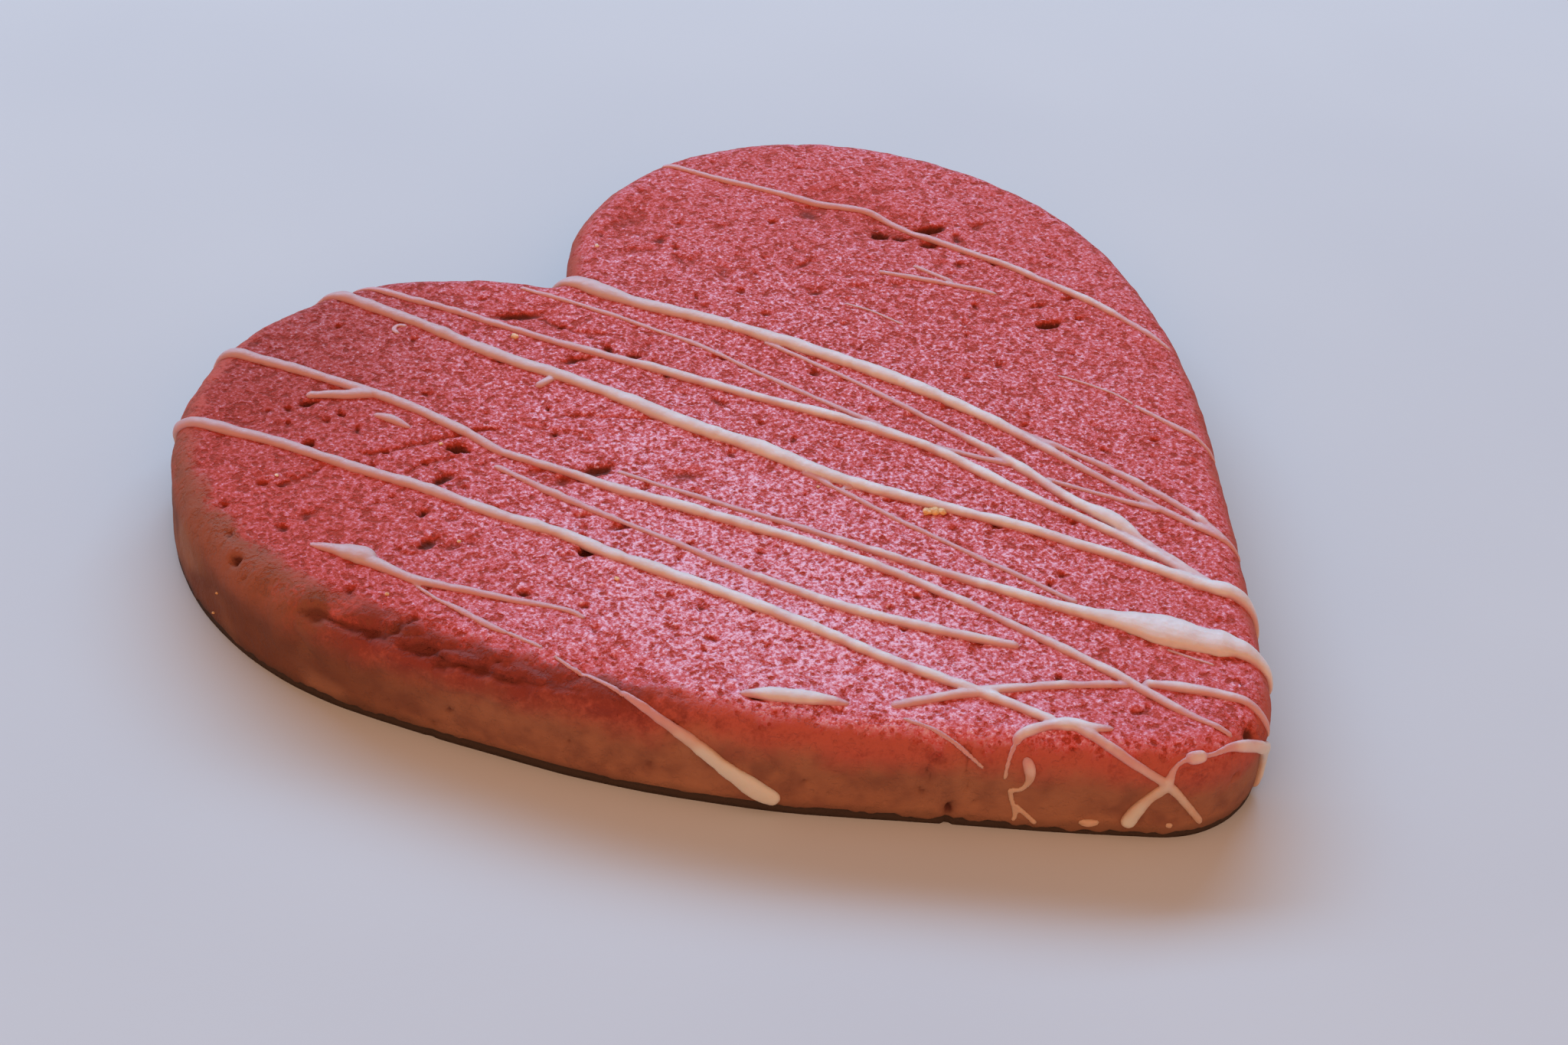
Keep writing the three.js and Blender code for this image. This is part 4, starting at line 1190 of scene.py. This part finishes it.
    glint = times(between(tone, 0.3, 0.9, 0.0, 0.42), inside)
    finish.put(finish.surface.inputs["Roughness"], minus(0.84, glint))
    finish.surface.inputs["Specular IOR Level"].default_value = 0.25

    ups = times(pores, -0.7, times(fine_pores, -0.45, speck))
    ups = times(ups, between(over, 1.0, 5.0, 1.0, 0.3))
    relief = finish.bump(ups, 0.3 * MM, settings.bump)
    finish.put(finish.surface.inputs["Normal"], finish.bump(patches, 0.5 * MM, 0.35, relief))
    return finish.material


def icing_material(settings):
    """Set sugar icing: cream white, soft gloss, pinker where it is thin, duller at the lobes by painted
    shade.
    """
    finish = Finish("sugar_icing")
    mix, between, times, plus = finish.mix, finish.between, finish.times, finish.plus
    cloud = finish.lumps(2.0 * MM, 2, 0.5)
    thick = times(finish.attribute("thick"), 0.9, -0.45)
    depth = plus(plus(finish.attribute("lift"), thick), times(cloud, 0.3, -0.15))
    on_wall = between(finish.attribute("over"), 2.5, 5.5)
    thin = mix(on_wall, settings.thin_colour, settings.thin_wall_colour)
    body = mix(between(cloud, 0.35, 0.65), settings.colour, settings.pale_colour)
    body = mix(on_wall, body, settings.wall_body_colour)
    # Painted shade: thick icing turns duller away from the tip, where less light falls.
    far = between(finish.distance(6 * MM, -30 * MM), 30 * MM, 80 * MM)
    body = mix(far, body, settings.far_shade_colour)
    finish.put(finish.surface.inputs["Base Color"], mix(between(depth, -0.05, 0.45), thin, body))
    grain = finish.lumps(0.35 * MM, 2, 0.5, 4.2)
    finish.put(finish.surface.inputs["Roughness"], between(grain, 0.3, 0.7, 0.42, 0.56))
    finish.surface.inputs["Specular IOR Level"].default_value = 0.35
    finish.surface.inputs["Subsurface Weight"].default_value = settings.glow
    finish.surface.inputs["Subsurface Radius"].default_value = (1.0, 0.55, 0.38)
    finish.surface.inputs["Subsurface Scale"].default_value = 0.5 * MM
    waves = finish.bump(finish.lumps(0.8 * MM, 2, 0.5, 9.1), 0.12 * MM, 0.5)
    finish.put(finish.surface.inputs["Normal"], finish.bump(grain, 0.03 * MM, 0.25, waves))
    return finish.material


def crumb_material(settings):
    """Paler dough and sugar bits, yellow to cream by the piece."""
    finish = Finish("pale_crumbs")
    grain = finish.lumps(0.3 * MM, 2, 0.6)
    colour = finish.mix(finish.attribute("pale"), settings.crumb_colour, settings.sugar_colour)
    darker = finish.mix(finish.between(grain, 0.35, 0.65, 0.5, 0.0), colour, settings.crumb_shade_colour)
    finish.put(finish.surface.inputs["Base Color"], darker)
    finish.surface.inputs["Roughness"].default_value = 0.55
    finish.surface.inputs["Subsurface Weight"].default_value = 0.2
    finish.surface.inputs["Subsurface Scale"].default_value = 0.4 * MM
    finish.put(finish.surface.inputs["Normal"], finish.bump(grain, 0.1 * MM, 0.6))
    return finish.material


def table_material(settings):
    """A plain pale table top with a faint mottle."""
    finish = Finish("pale_table")
    cloud = finish.lumps(60 * MM, 2, 0.5)
    fibre = finish.lumps(1.5 * MM, 3, 0.6)
    colour = finish.mix(finish.between(cloud, 0.3, 0.7), settings.floor_colour, settings.floor_shade_colour)
    finish.put(finish.surface.inputs["Base Color"], colour)
    finish.surface.inputs["Roughness"].default_value = 0.7
    finish.put(finish.surface.inputs["Normal"], finish.bump(fibre, 0.05 * MM, 0.2))
    return finish.material


# ---------------------------------------------------------------------------------------------
# Settings
# ---------------------------------------------------------------------------------------------


def a_length(name, description, default):
    """A length that a user may change."""
    return FloatProperty(name=name, description=description, default=default, unit="LENGTH", precision=5)


def a_colour(name, description, default):
    """A linear colour that a user may change."""
    return FloatVectorProperty(
        name=name, description=description, default=(*default, 1), size=4, subtype="COLOR", min=0, max=1
    )


def a_number(name, description, default, most=1.0, least=0.0):
    """A plain number that a user may change."""
    return FloatProperty(name=name, description=description, default=default, min=least, max=most)


class BiscuitSettings(PropertyGroup):
    """Sizes and colours of the biscuit."""

    cell: a_length("Cell on top", "Distance between points on the top", 0.37 * MM)
    edge_cell: a_length("Cell on the edge", "Distance between points on the rim and wall", 0.34 * MM)
    swell: a_length("Swell", "Height of the widest unevenness", 0.1 * MM)
    lumps: a_length("Lumps", "Height of the lumps in the dough", 0.05 * MM)
    rim_lumps: a_length("Rim lumps", "Height of the lumps along the rim", 0.22 * MM)
    folds: a_length("Folds", "Depth of the creases in the rough stretch of the rim", 0.4 * MM)
    grain: a_length("Grain", "Height of the grains of the crumb", 0.045 * MM)
    # The material paints this foot dark: shade under the lip on a darker crust.
    foot: a_length("Foot", "Height of the scorched foot under the wall", 0.88 * MM)
    nicks: a_length("Nicks", "Size of the nicks along the lip above the foot", 0.34 * MM)
    shrink: a_length("Shrink", "How far the surface lies inside the ideal form", 0.04 * MM)
    small_pits: IntProperty(name="Small pits", description="Number of small pits", default=420, min=0)
    seed: IntProperty(name="Seed", description="Another seed gives other small pits", default=5, min=0)
    bump: a_number("Fine relief", "Strength of the finest relief", 0.65)
    # Real bloom with painted sheen: the share is highest near the near side and lowest on the left lobe.
    near_bloom_and_sheen: a_number("Bloom on the near side", "Share of pale bloom where it is thickest", 1.25, 2)
    far_bloom_and_sheen: a_number("Bloom on the far side", "Share of pale bloom far from there", 0.65)
    left_bloom_and_sheen_loss: a_number("Loss on the left", "Share of bloom that the left lobe lacks", 0.36)
    far_grain: a_number("Grain near the rim", "Share of the grain's contrast left there", 0.72)
    left_bare: a_number("Bare rim on the left", "Further width of the bare rim, in millimetres", 0.9, 5)
    # Partly pale sugar grains, partly painted glint.
    grain_and_glint_colour: a_colour("Pale grains", "Lightest grains of the bloom", (0.90, 0.50, 0.63))
    bloom_and_sheen_colour: a_colour("Bloom", "Pale bloom on the top", (0.68, 0.155, 0.195))
    crumb_colour: a_colour("Crumb", "Red crumb under the bloom", (0.54, 0.064, 0.046))
    # Painted shade: tint that darkens the crumb of the far left lobe.
    left_shade_tint: a_colour("Darker left", "Tint of the crumb at the far left", (0.73, 0.66, 0.58))
    pore_colour: a_colour("Pores", "Deep pores", (0.38, 0.036, 0.017))
    rim_colour: a_colour("Rim", "Baked rim", (0.53, 0.09, 0.067))
    rim_brown_colour: a_colour("Brown rim", "Browner rim of the left lobe", (0.25, 0.088, 0.045))
    rim_low_colour: a_colour("Low rim", "Baked rim where it turns down", (0.45, 0.088, 0.058))
    rim_dark_colour: a_colour("Dark rim", "Darker patches of the rim", (0.25, 0.04, 0.027))
    wall_colour: a_colour("Wall", "Baked wall", (0.31, 0.118, 0.064))
    wall_dark_colour: a_colour("Dark wall", "Darker blotches of the wall", (0.22, 0.079, 0.047))
    wall_tan_colour: a_colour("Tan wall", "Paler patches of the wall", (0.37, 0.156, 0.085))
    # Painted shade on the wall of the left lobe.
    left_wall_shade_colour: a_colour("Brown wall", "Browner wall of the left lobe", (0.14, 0.042, 0.021))
    # Painted shade in the deepest holes.
    pit_shade_colour: a_colour("Holes", "Deepest holes", (0.1, 0.02, 0.013))
    # Painted shade under the lip, on a darker crust.
    foot_shade_colour: a_colour("Foot", "Scorched foot", (0.05, 0.028, 0.02))
    base_colour: a_colour("Underside", "Browned underside", (0.30, 0.13, 0.055))


class IcingSettings(PropertyGroup):
    """Form and colours of the icing."""

    swelling: a_number("Swelling", "How much a line thickens and thins", 0.16, 0.5)
    wander: a_length("Wander", "How far a line strays from its route", 0.08 * MM)
    seat: a_number("Seat", "Height of the widest part, as a share of the whole", 0.15, 0.5)
    thin_height: a_number("Thin height", "Height left to the thinnest lines, as a share", 0.6, least=0.2)
    roundness: a_number("Roundness", "1 is a round back, less is a flatter one", 0.75, least=0.3)
    voxel: a_length("Voxel", "Cell in which the lines run together", 0.11 * MM)
    soften: IntProperty(name="Soften", description="Rounds of smoothing", default=3, min=0)
    faces: IntProperty(name="Faces", description="Number of triangles kept", default=180000, min=1000)
    glow: a_number("Glow", "Light carried inside the icing", 0.4)
    colour: a_colour("Icing", "Thick icing", (0.66, 0.53, 0.51))
    pale_colour: a_colour("Pale icing", "Paler clouds in the icing", (0.70, 0.60, 0.59))
    wall_body_colour: a_colour("Icing on the wall", "Thick icing on the brown wall", (0.64, 0.60, 0.54))
    # Painted shade on the thick icing at the lobes.
    far_shade_colour: a_colour("Duller icing", "Thick icing at the lobes", (0.54, 0.31, 0.31))
    thin_colour: a_colour("Thin icing", "Thin icing on the pink top", (0.59, 0.29, 0.30))
    thin_wall_colour: a_colour("Thin icing on the wall", "Thin icing on the brown wall", (0.58, 0.36, 0.25))


class CrumbSettings(PropertyGroup):
    """Seat and colours of the crumbs."""

    scale: a_number("Scale", "Size of all crumbs", 0.75, 2, 0.1)
    seat: a_number("Seat", "Height of a crumb's middle, as a share of its size", 0.15)
    crumb_colour: a_colour("Crumb", "Yellow crumbs", (0.80, 0.42, 0.12))
    sugar_colour: a_colour("Sugar", "Pale bits", (0.85, 0.62, 0.50))
    crumb_shade_colour: a_colour("Shade", "Shade between the grains", (0.55, 0.25, 0.10))


class StageSettings(PropertyGroup):
    """Camera, light and table."""

    camera_place: FloatVectorProperty(
        name="Camera", description="Place", default=(-0.14653, -0.12798, 0.14813), subtype="TRANSLATION"
    )
    camera_turn: FloatVectorProperty(
        name="Camera turn",
        description="Rotation of the camera",
        default=tuple(math.radians(a) for a in (52.634, -5.280, -43.961)),
        subtype="EULER",
    )
    lens: FloatProperty(name="Lens", description="Focal length in mm", default=62.27, unit="CAMERA")
    table_half: a_length("Table", "Half the width of the table", 3.0)
    floor_colour: a_colour("Table", "Table top", (0.57, 0.59, 0.62))
    floor_shade_colour: a_colour("Table shade", "Fainter mottle of the table", (0.545, 0.565, 0.60))
    cool_colour: a_colour("Far light", "Light of the room behind the cookie", (0.18, 0.20, 0.235))
    warm_colour: a_colour("Near light", "Light of the room in front of the cookie", (1.0, 0.55, 0.31))
    sky: a_number("Room strength", "Strength of the light from all round", 1.12, 10)
    window_place: FloatVectorProperty(
        name="Window", description="Place of the lamp", default=(0.80, 1.26, 1.04), subtype="TRANSLATION"
    )
    window_width: a_length("Window width", "Width of the large soft lamp", 2.8)
    window_height: a_length("Window height", "Height of the large soft lamp", 0.48)
    key_colour: a_colour("Window light", "Light of the large soft lamp", (0.38, 0.69, 1.0))
    key: FloatProperty(name="Window strength", description="Power", default=50.0, min=0, unit="POWER")


# ---------------------------------------------------------------------------------------------
# Operators
# ---------------------------------------------------------------------------------------------


def place_piece(name, mesh, material):
    """Puts a finished mesh into the scene as a piece of the cookie."""
    mesh.shade_smooth()
    mesh.materials.append(material)
    piece = bpy.data.objects.new(name, mesh)
    bpy.context.scene.collection.objects.link(piece)
    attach(piece, BODY)
    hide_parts(NODE)
    return piece


class COOKIE_OT_biscuit(Operator):
    """Build the baked biscuit"""

    bl_idname = "cookie.biscuit"
    bl_label = "Biscuit"
    bl_options = {"REGISTER", "UNDO"}

    def execute(self, context):
        settings = context.scene.cookie_biscuit
        place_piece("biscuit", biscuit_mesh(settings), dough_material(settings))
        return {"FINISHED"}


class COOKIE_OT_icing(Operator):
    """Build the drizzled lines of icing"""

    bl_idname = "cookie.icing"
    bl_label = "Icing"
    bl_options = {"REGISTER", "UNDO"}

    def execute(self, context):
        settings = context.scene.cookie_icing
        mesh = icing_mesh(DRIZZLE + HAIR_LINES, settings, context.scene.cookie_biscuit)
        place_piece("icing", mesh, icing_material(settings))
        return {"FINISHED"}


class COOKIE_OT_crumbs(Operator):
    """Build the pale crumbs that lie on the biscuit"""

    bl_idname = "cookie.crumbs"
    bl_label = "Crumbs"
    bl_options = {"REGISTER", "UNDO"}

    def execute(self, context):
        settings = context.scene.cookie_crumbs
        mesh = crumb_mesh(settings, context.scene.cookie_biscuit)
        place_piece("crumbs", mesh, crumb_material(settings))
        return {"FINISHED"}


# The level direction from in front of the cookie to behind it.
BACKWARDS = (0.743, 0.669, 0)


def room_light(settings):
    """Soft light from all round, cool from behind the cookie and warm from in front of it."""
    world = bpy.data.worlds.new("room")
    world.use_nodes = True
    nodes, links = world.node_tree.nodes, world.node_tree.links
    toward = nodes.new("ShaderNodeTexCoord")
    along = nodes.new("ShaderNodeVectorMath")
    along.operation = "DOT_PRODUCT"
    along.inputs[1].default_value = BACKWARDS
    links.new(toward.outputs["Generated"], along.inputs[0])
    share = nodes.new("ShaderNodeMapRange")
    share.inputs["From Min"].default_value = -0.5
    share.inputs["From Max"].default_value = 0.5
    links.new(along.outputs["Value"], share.inputs["Value"])
    mixed = nodes.new("ShaderNodeMix")
    mixed.data_type = "RGBA"
    mixed.inputs["A"].default_value = settings.warm_colour
    mixed.inputs["B"].default_value = settings.cool_colour
    links.new(share.outputs["Result"], mixed.inputs["Factor"])
    sky = nodes["Background"]
    sky.inputs["Strength"].default_value = settings.sky
    links.new(mixed.outputs["Result"], sky.inputs["Color"])
    return world


class COOKIE_OT_stage(Operator):
    """Build the table, the light and the camera"""

    bl_idname = "cookie.stage"
    bl_label = "Stage"
    bl_options = {"REGISTER", "UNDO"}

    def execute(self, context):
        scene = context.scene
        settings = scene.cookie_stage

        half = settings.table_half
        mesh = bpy.data.meshes.new("table")
        corners = [(-half, -half, 0), (half, -half, 0), (half, half, 0), (-half, half, 0)]
        mesh.from_pydata(corners, [], [(0, 1, 2, 3)])
        mesh.materials.append(table_material(settings))
        table = bpy.data.objects.new("table", mesh)
        scene.collection.objects.link(table)

        scene.world = room_light(settings)

        lamp = bpy.data.lights.new("window", "AREA")
        lamp.shape = "RECTANGLE"
        lamp.size, lamp.size_y = settings.window_width, settings.window_height
        lamp.energy = settings.key
        lamp.color = settings.key_colour[:3]
        window = bpy.data.objects.new("window", lamp)
        window.location = settings.window_place
        window.rotation_euler = (-window.location).to_track_quat("-Z", "Y").to_euler()
        scene.collection.objects.link(window)

        lens = bpy.data.cameras.new("camera")
        lens.lens = settings.lens
        lens.sensor_width = 36
        lens.clip_start = 0.01
        camera = bpy.data.objects.new("camera", lens)
        camera.location = settings.camera_place
        camera.rotation_euler = settings.camera_turn
        scene.collection.objects.link(camera)
        scene.camera = camera
        scene.view_settings.view_transform = "Standard"
        return {"FINISHED"}


class COOKIE_PT_panel(Panel):
    """Builds the cookie piece by piece"""

    bl_label = "Iced Cookie"
    bl_idname = "COOKIE_PT_panel"
    bl_space_type = "VIEW_3D"
    bl_region_type = "UI"
    bl_category = "Cookie"

    def draw(self, context):
        for name in OPERATORS:
            self.layout.operator(name)


CLASSES = (
    BiscuitSettings,
    IcingSettings,
    CrumbSettings,
    StageSettings,
    COOKIE_OT_biscuit,
    COOKIE_OT_icing,
    COOKIE_OT_crumbs,
    COOKIE_OT_stage,
    COOKIE_PT_panel,
)
OPERATORS = ("cookie.stage", "cookie.biscuit", "cookie.icing", "cookie.crumbs")
SETTINGS = {
    "cookie_biscuit": BiscuitSettings,
    "cookie_icing": IcingSettings,
    "cookie_crumbs": CrumbSettings,
    "cookie_stage": StageSettings,
}


def register():
    for cls in CLASSES:
        bpy.utils.register_class(cls)
    for name, group in SETTINGS.items():
        setattr(bpy.types.Scene, name, PointerProperty(type=group))


def unregister():
    for name in SETTINGS:
        delattr(bpy.types.Scene, name)
    for cls in reversed(CLASSES):
        bpy.utils.unregister_class(cls)


def main():
    """Builds everything."""
    register()
    bpy.ops.cookie.stage()
    bpy.ops.cookie.biscuit()
    bpy.ops.cookie.icing()
    bpy.ops.cookie.crumbs()


if __name__ == "__main__":
    main()
